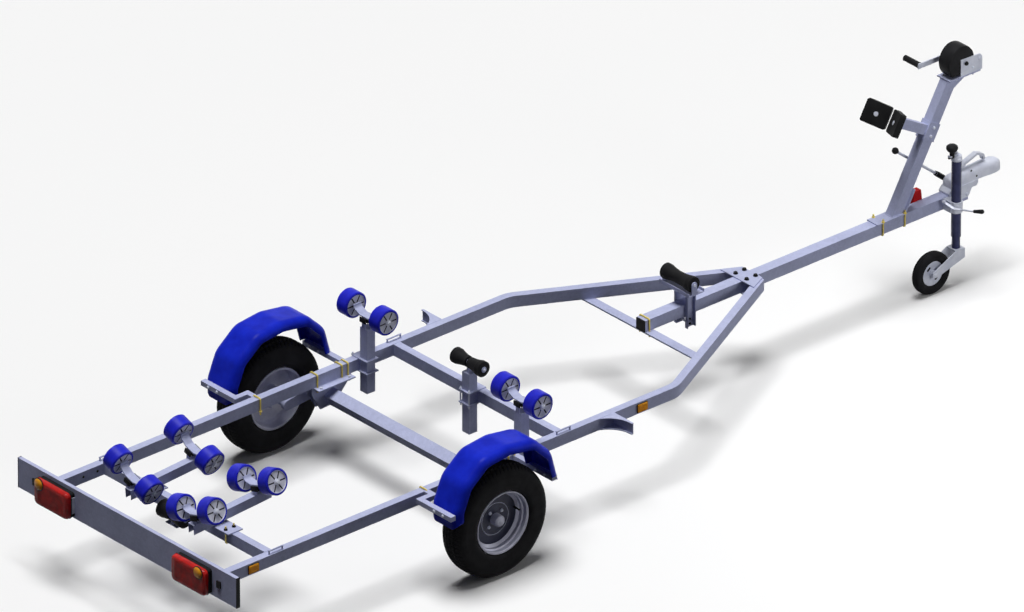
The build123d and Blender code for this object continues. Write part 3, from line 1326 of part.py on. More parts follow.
with BuildPart() as jockey_fork:
    with Locations((ahead(JOCKEY_X), JOCKEY_Y, INNER_BOTTOM - 4)):
        Box(56, JOCKEY_WIDE + 10, 8)
    for side in (-1, 1):
        with BuildSketch(lengthwise(JOCKEY_Y + side * (JOCKEY_WIDE / 2 + 5))):
            with BuildLine():
                Polyline(
                    (ahead(JOCKEY_X) + 28, INNER_BOTTOM),
                    (ahead(JOCKEY_X) - 28, INNER_BOTTOM),
                    (ahead(JOCKEY_X) - JOCKEY_TRAIL - 16, JOCKEY_RADIUS + 14),
                    (ahead(JOCKEY_X) - JOCKEY_TRAIL - 16, JOCKEY_RADIUS - 16),
                    (ahead(JOCKEY_X) - JOCKEY_TRAIL + 16, JOCKEY_RADIUS - 16),
                    (ahead(JOCKEY_X) + 28, INNER_BOTTOM - 50),
                    close=True,
                )
            make_face()
        extrude(amount=-side * 4)
    with BuildSketch(lengthwise(JOCKEY_Y - JOCKEY_WIDE / 2 - 6)):
        with Locations((ahead(JOCKEY_X - JOCKEY_TRAIL), JOCKEY_RADIUS)):
            Circle(6)
    extrude(amount=-JOCKEY_WIDE - 12)
jockey_fork.part.label = "jockey_fork"
export_step(jockey_fork.part, "parts/jockey_fork.step")

JOCKEY_SECTION = Plane(
    origin=(ahead(JOCKEY_X - JOCKEY_TRAIL), JOCKEY_Y, JOCKEY_RADIUS),
    x_dir=(1, 0, 0),
    z_dir=(0, 0, 1),
)
JOCKEY_SPIN = Axis((ahead(JOCKEY_X - JOCKEY_TRAIL), 0, JOCKEY_RADIUS), (0, 1, 0))

with BuildPart() as jockey_tyre:
    with BuildSketch(JOCKEY_SECTION):
        with BuildLine():
            Polyline(
                (62, -25),
                (92, -25),
                (JOCKEY_RADIUS, -10),
                (JOCKEY_RADIUS, 10),
                (92, 25),
                (62, 25),
                close=True,
            )
        make_face()
    revolve(axis=JOCKEY_SPIN)
jockey_tyre.part.label = "jockey_tyre"
export_step(jockey_tyre.part, "parts/jockey_tyre.step")

with BuildPart() as jockey_rim:
    with BuildSketch(JOCKEY_SECTION):
        with BuildLine():
            Polyline(
                (6 + RUNNING_GAP, -24),
                (16, -24),
                (20, -10),
                (56, -14),
                (62, -14),
                (62, 14),
                (56, 14),
                (20, 10),
                (16, 24),
                (6 + RUNNING_GAP, 24),
                close=True,
            )
        make_face()
    revolve(axis=JOCKEY_SPIN)
jockey_rim.part.label = "jockey_rim"
export_step(jockey_rim.part, "parts/jockey_rim.step")
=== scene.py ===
import json
import math

import bmesh
import bpy
import numpy as np
from mathutils import Matrix, Vector


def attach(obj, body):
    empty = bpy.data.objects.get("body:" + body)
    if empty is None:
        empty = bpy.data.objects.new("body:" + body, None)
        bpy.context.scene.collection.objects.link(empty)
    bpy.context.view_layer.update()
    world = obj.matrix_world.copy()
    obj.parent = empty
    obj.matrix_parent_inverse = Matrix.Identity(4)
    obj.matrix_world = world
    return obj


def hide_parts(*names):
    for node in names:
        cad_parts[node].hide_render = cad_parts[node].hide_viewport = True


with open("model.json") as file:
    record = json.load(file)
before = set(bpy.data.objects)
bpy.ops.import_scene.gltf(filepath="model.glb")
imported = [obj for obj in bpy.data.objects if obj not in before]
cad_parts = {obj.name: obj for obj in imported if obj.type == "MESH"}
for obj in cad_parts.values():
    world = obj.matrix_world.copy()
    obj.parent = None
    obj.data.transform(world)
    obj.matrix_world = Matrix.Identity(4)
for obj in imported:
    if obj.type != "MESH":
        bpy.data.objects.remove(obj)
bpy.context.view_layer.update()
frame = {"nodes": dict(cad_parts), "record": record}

# Metres, in the CAD's own frame: X ahead, Y to the left, Z up, the floor at 0
AXLE = -1.123
HUB_Z = 0.283


def ahead(distance):
    """X of a point this far ahead of the road-wheel axle."""
    return AXLE + distance


# ---- Camera: the photograph's view, from behind on the right and above, through a very long lens
VIEW_X = np.array([0.7536, -0.6574, 0.0])
VIEW_Y = np.array([0.3096, 0.3549, 0.8821])
VIEW_BACK = np.cross(VIEW_X, VIEW_Y)
PIXELS_A_METRE = 215.0
PHOTO_WIDE, PHOTO_HIGH = 1024.0, 612.0
AXLE_PIXEL = (381.0, 509.6)
LENS, SENSOR = 950.0, 36.0


def place_camera():
    """Long lens on the line of sight through the photograph's middle, far enough for its scale."""
    across = (PHOTO_WIDE / 2 - AXLE_PIXEL[0]) / PIXELS_A_METRE
    up = (AXLE_PIXEL[1] - PHOTO_HIGH / 2) / PIXELS_A_METRE
    seen = PHOTO_WIDE / PIXELS_A_METRE
    distance = seen * LENS / SENSOR
    x_axis = VIEW_X / np.linalg.norm(VIEW_X)
    back = VIEW_BACK / np.linalg.norm(VIEW_BACK)
    y_axis = np.cross(back, x_axis)
    target = np.array([AXLE, 0.0, 0.0]) + across * x_axis + up * y_axis
    camera = bpy.data.objects.new("camera", bpy.data.cameras.new("camera"))
    bpy.context.scene.collection.objects.link(camera)
    camera.data.lens, camera.data.sensor_width = LENS, SENSOR
    camera.data.clip_end = 1000.0
    camera.matrix_world = Matrix(
        [
            [x_axis[0], y_axis[0], back[0], target[0] + distance * back[0]],
            [x_axis[1], y_axis[1], back[1], target[1] + distance * back[1]],
            [x_axis[2], y_axis[2], back[2], target[2] + distance * back[2]],
            [0, 0, 0, 1],
        ]
    )
    bpy.context.scene.camera = camera


place_camera()


# ---- Materials, all from nodes
class Finish:
    """A material's node tree with short calls for the nodes that these finishes share."""

    def __init__(self, name):
        self.material = bpy.data.materials.new(name)
        self.material.use_nodes = True
        self.nodes = self.material.node_tree.nodes
        self.links = self.material.node_tree.links
        self.shader = self.nodes["Principled BSDF"]
        coordinates = self.nodes.new("ShaderNodeTexCoord")
        self.mapping = self.nodes.new("ShaderNodeMapping")
        self.links.new(coordinates.outputs["Object"], self.mapping.inputs["Vector"])

    def put(self, **values):
        """Constants on the shader's own sockets."""
        for socket, value in values.items():
            self.shader.inputs[socket.replace("_", " ")].default_value = value
        return self

    def noise(self, scale, detail=3.0):
        """Cloudy noise, 0 to 1, over the object's own coordinates."""
        node = self.nodes.new("ShaderNodeTexNoise")
        node.inputs["Scale"].default_value = scale
        node.inputs["Detail"].default_value = detail
        self.links.new(self.mapping.outputs["Vector"], node.inputs["Vector"])
        return node.outputs["Fac"]

    def cells(self, scale):
        """Cells, each with a random colour of its own."""
        node = self.nodes.new("ShaderNodeTexVoronoi")
        node.inputs["Scale"].default_value = scale
        self.links.new(self.mapping.outputs["Vector"], node.inputs["Vector"])
        return node.outputs["Color"]

    def ramp(self, value, *stops):
        """Colour ramp with (place, colour) stops."""
        node = self.nodes.new("ShaderNodeValToRGB")
        elements = node.color_ramp.elements
        for element, (place, colour) in zip(elements, stops):
            element.position, element.color = place, (*colour, 1.0)
        for place, colour in stops[2:]:
            elements.new(place).color = (*colour, 1.0)
        self.links.new(value, node.inputs["Fac"])
        return node.outputs["Color"]

    def spread(self, value, low, high):
        """A value's 0 to 1 made low to high."""
        node = self.nodes.new("ShaderNodeMapRange")
        node.inputs["To Min"].default_value = low
        node.inputs["To Max"].default_value = high
        self.links.new(value, node.inputs["Value"])
        return node.outputs["Result"]

    def blend(self, factor, first, second):
        """Mix of two colours, each a socket or three numbers, by a factor."""
        node = self.nodes.new("ShaderNodeMix")
        node.data_type = "RGBA"
        for socket, value in ((0, factor), (6, first), (7, second)):
            if isinstance(value, (float, int)):
                node.inputs[socket].default_value = value
            elif isinstance(value, tuple):
                node.inputs[socket].default_value = (*value, 1.0)
            else:
                self.links.new(value, node.inputs[socket])
        return node.outputs[2]

    def colour(self, output):
        self.links.new(output, self.shader.inputs["Base Color"])
        return self

    def rough(self, output):
        self.links.new(output, self.shader.inputs["Roughness"])
        return self

    def maths(self, kind, first, second=None):
        """One step of arithmetic on a socket: its other side is a socket, a number or nothing."""
        node = self.nodes.new("ShaderNodeMath")
        node.operation = kind
        for socket, value in zip(node.inputs, (first, second)):
            if isinstance(value, float):
                socket.default_value = value
            elif value is not None:
                self.links.new(value, socket)
        return node.outputs[0]

    def bump(self, height, distance, strength):
        node = self.nodes.new("ShaderNodeBump")
        node.inputs["Strength"].default_value = strength
        node.inputs["Distance"].default_value = distance
        self.links.new(height, node.inputs["Height"])
        self.links.new(node.outputs["Normal"], self.shader.inputs["Normal"])
        return self


def zinc_coat(name, pale, dark, metallic, grain):
    """Hot-dip zinc: pale crystals a few millimetres across, each its own grey, with soft cloudy patches."""
    finish = Finish(name).put(Metallic=metallic, Specular_IOR_Level=0.08)
    crystals = finish.cells(grain)
    cloud = finish.noise(9.0, 4.0)
    shade = finish.ramp(crystals, (0.0, dark), (1.0, pale))
    patches = finish.ramp(cloud, (0.3, dark), (0.7, pale))
    finish.colour(finish.blend(0.45, shade, patches))
    finish.rough(finish.spread(crystals, 0.42, 0.6))
    return finish.bump(finish.noise(260.0, 2.0), 0.0003, 0.25).material


def plain_metal(name, pale, dark, metallic, roughness):
    """Plated or painted steel with faint cloudy variation and a fine grain."""
    finish = Finish(name).put(Metallic=metallic, Specular_IOR_Level=0.22)
    finish.colour(finish.ramp(finish.noise(22.0, 4.0), (0.3, dark), (0.7, pale)))
    finish.rough(finish.spread(finish.noise(60.0), roughness - 0.06, roughness + 0.06))
    return finish.bump(finish.noise(420.0, 2.0), 0.0002, 0.2).material


def moulded(name, pale, dark, roughness):
    """Moulded rubber or plastic: nearly even colour, a fine grain, slightly scuffed."""
    finish = Finish(name).put(Specular_IOR_Level=0.06)
    finish.colour(finish.ramp(finish.noise(14.0, 4.0), (0.3, dark), (0.7, pale)))
    finish.rough(finish.spread(finish.noise(35.0, 4.0), roughness - 0.08, roughness + 0.08))
    return finish.bump(finish.noise(500.0, 2.0), 0.0002, 0.3).material


def lens_plastic(name, bright, deep):
    """Moulded lens: clear colour with a glossy skin over deeper colour."""
    finish = Finish(name).put(Specular_IOR_Level=0.12, Coat_Weight=0.04, Coat_Roughness=0.06)
    finish.colour(finish.ramp(finish.noise(30.0, 3.0), (0.3, deep), (0.7, bright)))
    finish.rough(finish.spread(finish.noise(80.0), 0.18, 0.3))
    return finish.bump(finish.noise(300.0), 0.0002, 0.2).material


HUB_RADIUS = 0.0535
# slot count, radius of the slots' middles, half their length, and half the width of their painted shade, a
# little wider than the slots
SLOTS, SLOT_MIDDLE, SLOT_HALF_LONG, SLOT_SHADE_HALF_WIDE = 6, 0.033, 0.0175, 0.0034


def hub_in_tread(name, middle, tilt):
    """Roller moulded in two plastics: a pale hub round its pin's line and a vivid blue tread outside that.
    The hub's slots, which point at the pin, carry painted shade: near-black, as they look deep in shade."""
    finish = Finish(name).put(Specular_IOR_Level=0.15)
    finish.mapping.vector_type = "TEXTURE"
    finish.mapping.inputs["Location"].default_value = tuple(middle)
    finish.mapping.inputs["Rotation"].default_value = (tilt, 0.0, 0.0)
    flat = finish.nodes.new("ShaderNodeVectorMath")
    flat.operation = "MULTIPLY"
    flat.inputs[1].default_value = (1.0, 0.0, 1.0)
    finish.links.new(finish.mapping.outputs["Vector"], flat.inputs[0])
    length = finish.nodes.new("ShaderNodeVectorMath")
    length.operation = "LENGTH"
    finish.links.new(flat.outputs["Vector"], length.inputs[0])
    split = finish.nodes.new("ShaderNodeSeparateXYZ")
    finish.links.new(flat.outputs["Vector"], split.inputs[0])

    radius = length.outputs["Value"]
    in_hub = finish.maths("LESS_THAN", radius, HUB_RADIUS)
    angle = finish.maths("ARCTAN2", split.outputs["Z"], split.outputs["X"])
    from_slot = finish.maths("SINE", finish.maths("PINGPONG", angle, math.pi / SLOTS))
    off_slot = finish.maths("MULTIPLY", from_slot, radius)
    past_middle = finish.maths("ABSOLUTE", finish.maths("SUBTRACT", radius, SLOT_MIDDLE))
    along_slot = finish.maths("LESS_THAN", past_middle, SLOT_HALF_LONG)
    slot_shade = finish.maths("MULTIPLY", finish.maths("LESS_THAN", off_slot, SLOT_SHADE_HALF_WIDE), along_slot)

    cloud = finish.noise(26.0, 4.0)
    tread = finish.ramp(cloud, (0.3, (0.010, 0.012, 0.44)), (0.7, (0.014, 0.020, 0.64)))
    hub = finish.ramp(cloud, (0.3, (0.66, 0.67, 0.82)), (0.7, (0.84, 0.85, 0.96)))
    # painted shade: near-black over the slots, where the real slots are dark from the shade inside them
    finish.colour(finish.blend(slot_shade, finish.blend(in_hub, tread, hub), (0.022, 0.024, 0.045)))
    finish.rough(finish.spread(finish.noise(40.0, 4.0), 0.36, 0.5))
    return finish.bump(finish.noise(380.0, 2.0), 0.0002, 0.25).material


galvanised = zinc_coat("galvanised_steel", (0.52, 0.55, 0.77), (0.40, 0.43, 0.62), 0.03, 90.0)
bright_zinc = plain_metal("bright_zinc", (0.76, 0.79, 0.89), (0.62, 0.65, 0.77), 0.15, 0.38)
yellow_zinc = plain_metal("yellow_zinc", (0.86, 0.72, 0.20), (0.66, 0.50, 0.11), 0.2, 0.35)
wheel_silver = plain_metal("wheel_silver", (0.70, 0.71, 0.84), (0.56, 0.57, 0.70), 0.12, 0.4)
tyre_rubber = moulded("tyre_rubber", (0.018, 0.018, 0.020), (0.008, 0.008, 0.009), 0.7)
roller_blue = moulded("roller_blue", (0.012, 0.018, 0.62), (0.008, 0.010, 0.42), 0.42)
guard_blue = moulded("guard_blue", (0.010, 0.028, 0.62), (0.006, 0.016, 0.45), 0.36)
black_rubber = moulded("black_rubber", (0.016, 0.016, 0.017), (0.007, 0.007, 0.008), 0.6)
black_plastic = moulded("black_plastic", (0.018, 0.018, 0.020), (0.010, 0.010, 0.011), 0.45)
red_lens = lens_plastic("red_lens", (0.62, 0.012, 0.010), (0.34, 0.006, 0.006))
amber_lens = lens_plastic("amber_lens", (0.95, 0.42, 0.02), (0.80, 0.30, 0.01))
clear_lens = lens_plastic("clear_lens", (0.82, 0.84, 0.90), (0.62, 0.65, 0.74))
red_plastic = moulded("red_plastic", (0.60, 0.012, 0.014), (0.38, 0.008, 0.010), 0.4)
# painted shade: the dark navy that the road wheels' disc face shows in the shade of the rim and mudguard
painted_disc_shade = plain_metal("painted_disc_shade", (0.020, 0.024, 0.060), (0.012, 0.014, 0.036), 0.1, 0.34)
# painted shade: the dark navy that the jockey column shows on its shaded side, given to the whole column
painted_column_shade = plain_metal("painted_column_shade", (0.036, 0.042, 0.120), (0.020, 0.024, 0.075), 0.2, 0.32)

FINISH_OF_SLOT = {
    "galvanised_steel": galvanised,
    "zinc_fittings": bright_zinc,
    "wheel_steel": wheel_silver,
    "tyre": tyre_rubber,
    "blue_roller": roller_blue,
    "blue_plastic": guard_blue,
    "black_rubber": black_rubber,
    "black_plastic": black_plastic,
    "red_lens": red_lens,
    "red_plastic": red_plastic,
    "amber_lens": amber_lens,
}
SLOT_OF_NODE = {s["node"]: s["material_slot"] for s in frame["record"]["subparts"]}
for node, cad_object in frame["nodes"].items():
    cad_object.data.materials.clear()
    cad_object.data.materials.append(FINISH_OF_SLOT[SLOT_OF_NODE[node]])
# the jockey's inner tube in the same painted shade
frame["nodes"]["jockey_inner_tube"].data.materials[0] = painted_column_shade


# ---- Surfaces from grids of points
def skin(grid, rows_close=False):
    """Closed skin over a grid whose columns go round: four-sided faces, with the end rows filled."""
    rows, columns = grid.shape[:2]
    index = np.arange(rows * columns).reshape(rows, columns)
    caps = [] if rows_close else [index[0, ::-1].tolist(), index[-1].tolist()]
    if rows_close:
        index = np.vstack([index, index[:1]])
    index = np.hstack([index, index[:, :1]])
    corners = (index[:-1, :-1], index[:-1, 1:], index[1:, 1:], index[1:, :-1])
    return grid.reshape(-1, 3), np.stack(corners, axis=-1).reshape(-1, 4), caps


def stand(grid, at, up=(0, 0, 1), along=None):
    """A grid drawn about its own Z, turned so that Z follows up and X follows along, and moved to a place."""
    z_axis = np.array(up, float) / np.linalg.norm(up)
    if along is None:
        along = (1, 0, 0) if abs(z_axis[0]) < 0.9 else (0, 1, 0)
    y_axis = np.cross(z_axis, along)
    y_axis /= np.linalg.norm(y_axis)
    axes = np.array([np.cross(y_axis, z_axis), y_axis, z_axis])
    return grid @ axes + np.array(at, float)


def turned(profile, around, at, up=(0, 0, 1), closed=False):
    """Lathe form: each (radius r, height h) goes round as (r cos a, r sin a, h) in equal steps of a."""
    radius, height = np.array(profile, float).T
    angle = np.arange(around) * 2 * np.pi / around
    grid = np.stack(
        [np.outer(radius, np.cos(angle)), np.outer(radius, np.sin(angle)), np.outer(height, np.ones(around))],
        axis=-1,
    )
    return skin(stand(grid, at, up), closed)


def rounded_box(half_x, half_y, corner, steps=4):
    """Outline of a rectangle with round corners: a corner's centre plus (cos a, sin a) times its radius."""
    quarters, share = np.divmod(np.arange(4 * steps), steps)
    angle = (quarters + share / (steps - 1)) * np.pi / 2
    sign_x = np.where(np.cos(angle.reshape(4, steps).mean(axis=1)) > 0, 1, -1).repeat(steps)
    sign_y = np.where(np.sin(angle.reshape(4, steps).mean(axis=1)) > 0, 1, -1).repeat(steps)
    x = sign_x * (half_x - corner) + corner * np.cos(angle)
    y = sign_y * (half_y - corner) + corner * np.sin(angle)
    return np.stack([x, y], axis=-1)


def block(half_x, half_y, high, bevel, at, up=(0, 0, 1), along=None, corner=None):
    """Moulded block: one round-cornered outline at four heights, the end ones drawn in by the bevel."""
    corner = bevel * 1.6 if corner is None else corner
    heights = (0.0, bevel, high - bevel, high)
    insets = (bevel, 0.0, 0.0, bevel)
    rows = [
        np.column_stack([rounded_box(half_x - i, half_y - i, max(corner - i, bevel * 0.4)), np.full(16, h)])
        for h, i in zip(heights, insets)
    ]
    return skin(stand(np.array(rows), at, up, along))


def bar_section(radius, steps=10):
    """Round section: equal steps round a circle."""
    angle = np.arange(steps) * 2 * np.pi / steps
    return radius * np.stack([np.cos(angle), np.sin(angle)], axis=-1)


def bent(corners, radius, steps=6):
    """Path through corners, each replaced by an arc that touches both its runs."""
    corners = [np.array(c, float) for c in corners]
    path = [corners[0]]
    for before, corner, after in zip(corners, corners[1:], corners[2:]):
        back = (before - corner) / np.linalg.norm(before - corner)
        on = (after - corner) / np.linalg.norm(after - corner)
        half = math.acos(np.clip(back @ on, -1, 1)) / 2
        reach = radius / math.tan(half)
        middle = corner + (back + on) / np.linalg.norm(back + on) * radius / math.sin(half)
        start, end = corner + back * reach - middle, corner + on * reach - middle
        share = np.linspace(0, 1, steps + 1)[:, None]
        arc = start * (1 - share) + end * share
        path.extend(middle + arc / np.linalg.norm(arc, axis=1)[:, None] * radius)
    path.append(corners[-1])
    return np.array(path)


def carried(section, path, side):
    """A section's (across, out) points along a path: across follows side, out is square to both."""
    path, side = np.array(path, float), np.array(side, float) / np.linalg.norm(side)
    onward = np.gradient(path, axis=0)
    out = np.cross(onward / np.linalg.norm(onward, axis=1)[:, None], side)
    out /= np.linalg.norm(out, axis=1)[:, None]
    return skin(path[:, None] + section[None, :, :1] * side + section[None, :, 1:] * out[:, None])


def piece(name, skins, finish, body, sharp=35.0, stands_for=()):
    """One object from closed skins, facing outwards, smooth except across edges sharper than an angle."""
    points, faces, start = [], [], 0
    for part, quads, caps in skins:
        points.append(part)
        faces += (quads + start).tolist() + [[corner + start for corner in cap] for cap in caps]
        start += len(part)
    mesh = bpy.data.meshes.new(name)
    mesh.from_pydata(np.vstack(points).tolist(), [], faces)
    work = bmesh.new()
    work.from_mesh(mesh)
    bmesh.ops.recalc_face_normals(work, faces=work.faces)
    work.to_mesh(mesh)
    work.free()
    mesh.shade_smooth()
    mesh.set_sharp_from_angle(angle=math.radians(sharp))
    mesh.materials.append(finish)
    made = bpy.data.objects.new(name, mesh)
    bpy.context.scene.collection.objects.link(made)
    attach(made, body)
    if stands_for:
        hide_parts(*stands_for)


# ---- Fasteners
def hex_bolt(at, up, size, stud=0.0):
    """Washer, chamfered hexagon (a lathe form in six steps) and, with a stud, its thread's end above that."""
    washer = turned([(1.05 * size, 0), (1.05 * size, 0.16 * size)], 14, at, up)
    hexagon = [(0.9 * size, 0.16 * size), (0.9 * size, 0.72 * size), (0.76 * size, 0.86 * size)]
    head = turned(hexagon, 6, at, up)
    if not stud:
        return [washer, head]
    end = 0.86 * size + stud
    thread = turned([(0.45 * size, 0.5 * size), (0.45 * size, end - 0.001), (0.36 * size, end)], 10, at, up)
    return [washer, head, thread]


def u_bolt(legs, loop, bar, side):
    """Round bar bent into a U: from one leg's end, round the loop's two corners, to the other leg's end."""
    first, second = legs
    corner_one, corner_two = loop
    return carried(bar_section(bar), bent([first, corner_one, corner_two, second], 2.2 * bar), side)


def weld(start, end, size=0.0026):
    """Weld bead: a fat rounded string along a line whose radius swells and shrinks with each ripple."""
    start, end = np.array(start, float), np.array(end, float)
    length = np.linalg.norm(end - start)
    steps = max(8, int(length / 0.004))
    share = np.linspace(0, 1, steps)
    taper = np.clip(np.minimum(share, 1 - share) * steps / 2, 0.35, 1)
    swell = size * taper * (1 + 0.16 * np.sin(share * length / 0.0055 * 2 * np.pi))
    angle = np.arange(8) * 2 * np.pi / 8
    line = (end - start) / length
    side = np.cross(line, (0.3, 0.5, 0.81))
    side /= np.linalg.norm(side)
    other = np.cross(line, side)
    ring = np.cos(angle)[:, None] * side + np.sin(angle)[:, None] * other
    return skin((start + share[:, None] * (end - start))[:, None] + swell[:, None, None] * ring[None])


# ---- Sizes taken over from the CAD, in metres; a capital name that ends in _AT is X ahead of the axle
RAIL_Y, RAIL_HALF = 0.591, 0.020
RAIL_INNER, RAIL_OUTER = RAIL_Y - RAIL_HALF, RAIL_Y + RAIL_HALF
FRAME_TOP, FRAME_BOTTOM = 0.440, 0.380
PLATE = 0.006
WHEEL_Y = 0.8025
DRAWBAR_HALF = 0.030
CROSSBAR_DEEP = 0.040
SIDE_POST_AT, SIDE_POST_Y = 0.391, 0.546
CRADLE_Y = 0.224
KEEL_CHANNEL_AT = 1.884
POST_AT, POST_DEEP, POST_HALF_WIDE, POST_LEAN = 3.194, 0.069, 0.025, math.radians(29.6)
WINCH_DECK_LOW = 1.052
JOCKEY_Y = -0.085
TYRE_CROWN, TYRE_BEAD, TYRE_HALF = 0.283, 0.158, 0.0725
SIDES = ((1, "left"), (-1, "right"))
UP, DOWN, REAR = (0, 0, 1), (0, 0, -1), (-1, 0, 0)


# ---- Road tyres
def road_tyre(side):
    """Ring of a squarish oval section: r = middle + half |sin t|^(2/n), y = half |cos t|^(2/n).

    n is 2.8 outside and 6 at the bead. Four grooves run round the tread, slanting sipes cross it, and three
    thin rings stand on each wall."""
    around, columns = 480, 88
    turn = (np.arange(around) * 2 * np.pi / around)[:, None]
    t = (np.arange(columns) * 2 * np.pi / columns)[None, :]
    middle, half_high = (TYRE_CROWN + TYRE_BEAD) / 2, (TYRE_CROWN - TYRE_BEAD) / 2
    power = 2 / np.where(np.sin(t) > 0, 2.8, 6.0)
    radius = middle + half_high * np.sign(np.sin(t)) * np.abs(np.sin(t)) ** power
    across = 0.0718 * np.sign(np.cos(t)) * np.abs(np.cos(t)) ** power
    tread = np.clip((radius - 0.262) / 0.008, 0, 1)
    groove = np.max([np.exp(-(((across - y) / 0.0026) ** 4)) for y in (-0.033, -0.011, 0.011, 0.033)], axis=0)
    slant = np.sin(turn * 74 + across * 95 * np.sign(np.abs(across) - 0.022))
    sipe = np.clip((slant - 0.80) / 0.12, 0, 1)
    cut = 0.0065 * np.maximum(groove, 0.75 * sipe) * tread
    wall_ring = np.max([np.exp(-(((radius - r) / 0.0016) ** 2)) for r in (0.181, 0.236, 0.250)], axis=0)
    out_of_wall = 0.0007 * wall_ring * np.clip(np.abs(across) / TYRE_HALF - 0.6, 0, 1) * 2.5
    radius = radius - cut
    across = (across + np.sign(across) * out_of_wall) * np.ones_like(turn)
    grid = np.stack(
        [radius * np.cos(turn) + ahead(0), across + side * WHEEL_Y, radius * np.sin(turn) + HUB_Z], axis=-1
    )
    return skin(grid, rows_close=True)


WHEEL_BOLT_RING, WHEEL_BOLT_TURN = 0.050, math.radians(39)
# the second is the thickness of the thin sheet that carries the disc face's painted shade
RIM_FACE, SHADE_SHEET = 0.004, 0.0008
BOLT_SIZE = 0.0085
VALVE = [(0.0055, 0), (0.0055, 0.016), (0.0042, 0.018), (0.0042, 0.030), (0.0050, 0.031), (0.0050, 0.038)]


def flat_ring(inner, outer, thick, around, at, up):
    """Flat ring between two radii."""
    return turned([(inner, 0.0), (inner, thick), (outer, thick), (outer, 0.0)], around, at, up, closed=True)


for side, name in SIDES:
    body = f"wheel_{name}"
    piece(f"tyre_tread_{name}", [road_tyre(side)], tyre_rubber, body, 25.0, (f"road_tyre_{name}",))
    face = (ahead(0), side * (WHEEL_Y + RIM_FACE), HUB_Z)
    out = (0, side, 0)
    # the two dark rings on the disc face are painted shade: a thin sheet in the colour the disc shows in
    # shade; the bolts stand on it
    disc = [flat_ring(*radii, SHADE_SHEET, 96, face, out) for radii in ((0.0305, 0.0785), (0.0835, 0.1265))]
    piece(f"wheel_disc_shade_{name}", disc, painted_disc_shade, body)
    bolts = []
    for quarter in range(4):
        angle = WHEEL_BOLT_TURN + quarter * math.pi / 2
        reach = WHEEL_BOLT_RING * np.array([math.cos(angle), 0, math.sin(angle)])
        bolts += hex_bolt(face + reach + np.array([0, side * SHADE_SHEET, 0]), out, BOLT_SIZE)
    bolts.append(flat_ring(0.0815, 0.0800, 0.0012, 96, face, out))
    piece(f"wheel_bolts_{name}", bolts, bright_zinc, body)
    valve = turned(VALVE, 14, (face[0] + 0.118, face[1], HUB_Z + 0.02), out)
    piece(f"wheel_valve_{name}", [valve], black_rubber, body)

# ---- Roller pairs: pale hubs in blue treads, a nut on each pin's end, a black block under the yoke
PAIR_TILT = math.radians(18)
CRADLE_SLOPE = math.tan(math.radians(3.7))
PIN_DROP, HALF_SPACING, ROLLER_HALF = 0.044, 0.115, 0.035
NUT_GAP = 0.0006
REAR_AT, FRONT_AT = -1.316, -0.948
REAR_Z, SIDE_Z = 0.565, 0.687
FRONT_Z = REAR_Z + (FRONT_AT - REAR_AT) * CRADLE_SLOPE
PAIRS = {
    # middle of the pair's line: X ahead of the axle, Y, Z; tilt about X
    "rear_left": (REAR_AT, CRADLE_Y, REAR_Z, PAIR_TILT),
    "front_left": (FRONT_AT, CRADLE_Y, FRONT_Z, PAIR_TILT),
    "rear_right": (REAR_AT, -CRADLE_Y, REAR_Z, -PAIR_TILT),
    "front_right": (FRONT_AT, -CRADLE_Y, FRONT_Z, -PAIR_TILT),
    "side_left": (SIDE_POST_AT, SIDE_POST_Y, SIDE_Z, 0.0),
    "side_right": (SIDE_POST_AT, -SIDE_POST_Y, SIDE_Z, 0.0),
}
for name, (x, y, z, tilt) in PAIRS.items():
    middle = np.array([ahead(x), y, z])
    line = np.array([0, math.cos(tilt), math.sin(tilt)])
    up = np.array([0, -math.sin(tilt), math.cos(tilt)])
    frame["nodes"][f"hull_rollers_{name}"].data.materials[0] = hub_in_tread(f"roller_{name}", middle, tilt)
    pin_ends = []
    for end in (-1, 1):
        outer = middle + end * (HALF_SPACING + ROLLER_HALF + NUT_GAP) * line
        washer = [(0.0085, 0.0), (0.0150, 0.0), (0.0150, 0.0022), (0.0085, 0.0022)]
        pin_ends.append(turned(washer, 20, outer, end * line, closed=True))
        pin_ends.append(turned([(0.0095, 0.0022), (0.0095, 0.0075), (0.0080, 0.0090)], 6, outer, end * line))
    piece(f"roller_nuts_{name}", pin_ends, bright_zinc, f"yoke_{name}")
    saddle_low = middle - 0.050 * up
    saddle = [block(0.019, 0.022, 0.026, 0.002, saddle_low, up, (1, 0, 0))]
    for step in (0.0287, -0.0287):
        spot = saddle_low + np.array([step, 0, 0])
        saddle.append(block(0.0032, 0.022, 0.026, 0.0012, spot, up, (1, 0, 0)))
    piece(f"yoke_saddle_{name}", saddle, black_rubber, f"yoke_{name}")
    pivot = []
    for end in (-1, 1):
        pivot += hex_bolt(middle - PIN_DROP * up + np.array([end * 0.0252, 0, 0]), (end, 0, 0), 0.0075)
    carrier = "root" if name.startswith("side") else f"cradle_{name.split('_')[1]}"
    piece(f"yoke_pivot_{name}", pivot, bright_zinc, carrier)

# ---- Fasteners of the frame
black_heads, zinc_heads, yellow_bars, hole_shades = [], [], [], []
BAR = 0.0042
RAIL_GAP, DRAWBAR_GAP = BAR + 0.0006, BAR + 0.0004
SMALL_HEX = 0.0075


def yellow_u(feet, foot_z, loop_z, side=(1, 0, 0)):
    """U-bolt whose two legs stand at (x, y) places, between their ends' height and the loop's."""
    legs, loop = ([(x, y, z) for x, y in feet] for z in (foot_z, loop_z))
    yellow_bars.append(u_bolt(legs, loop, BAR, side))


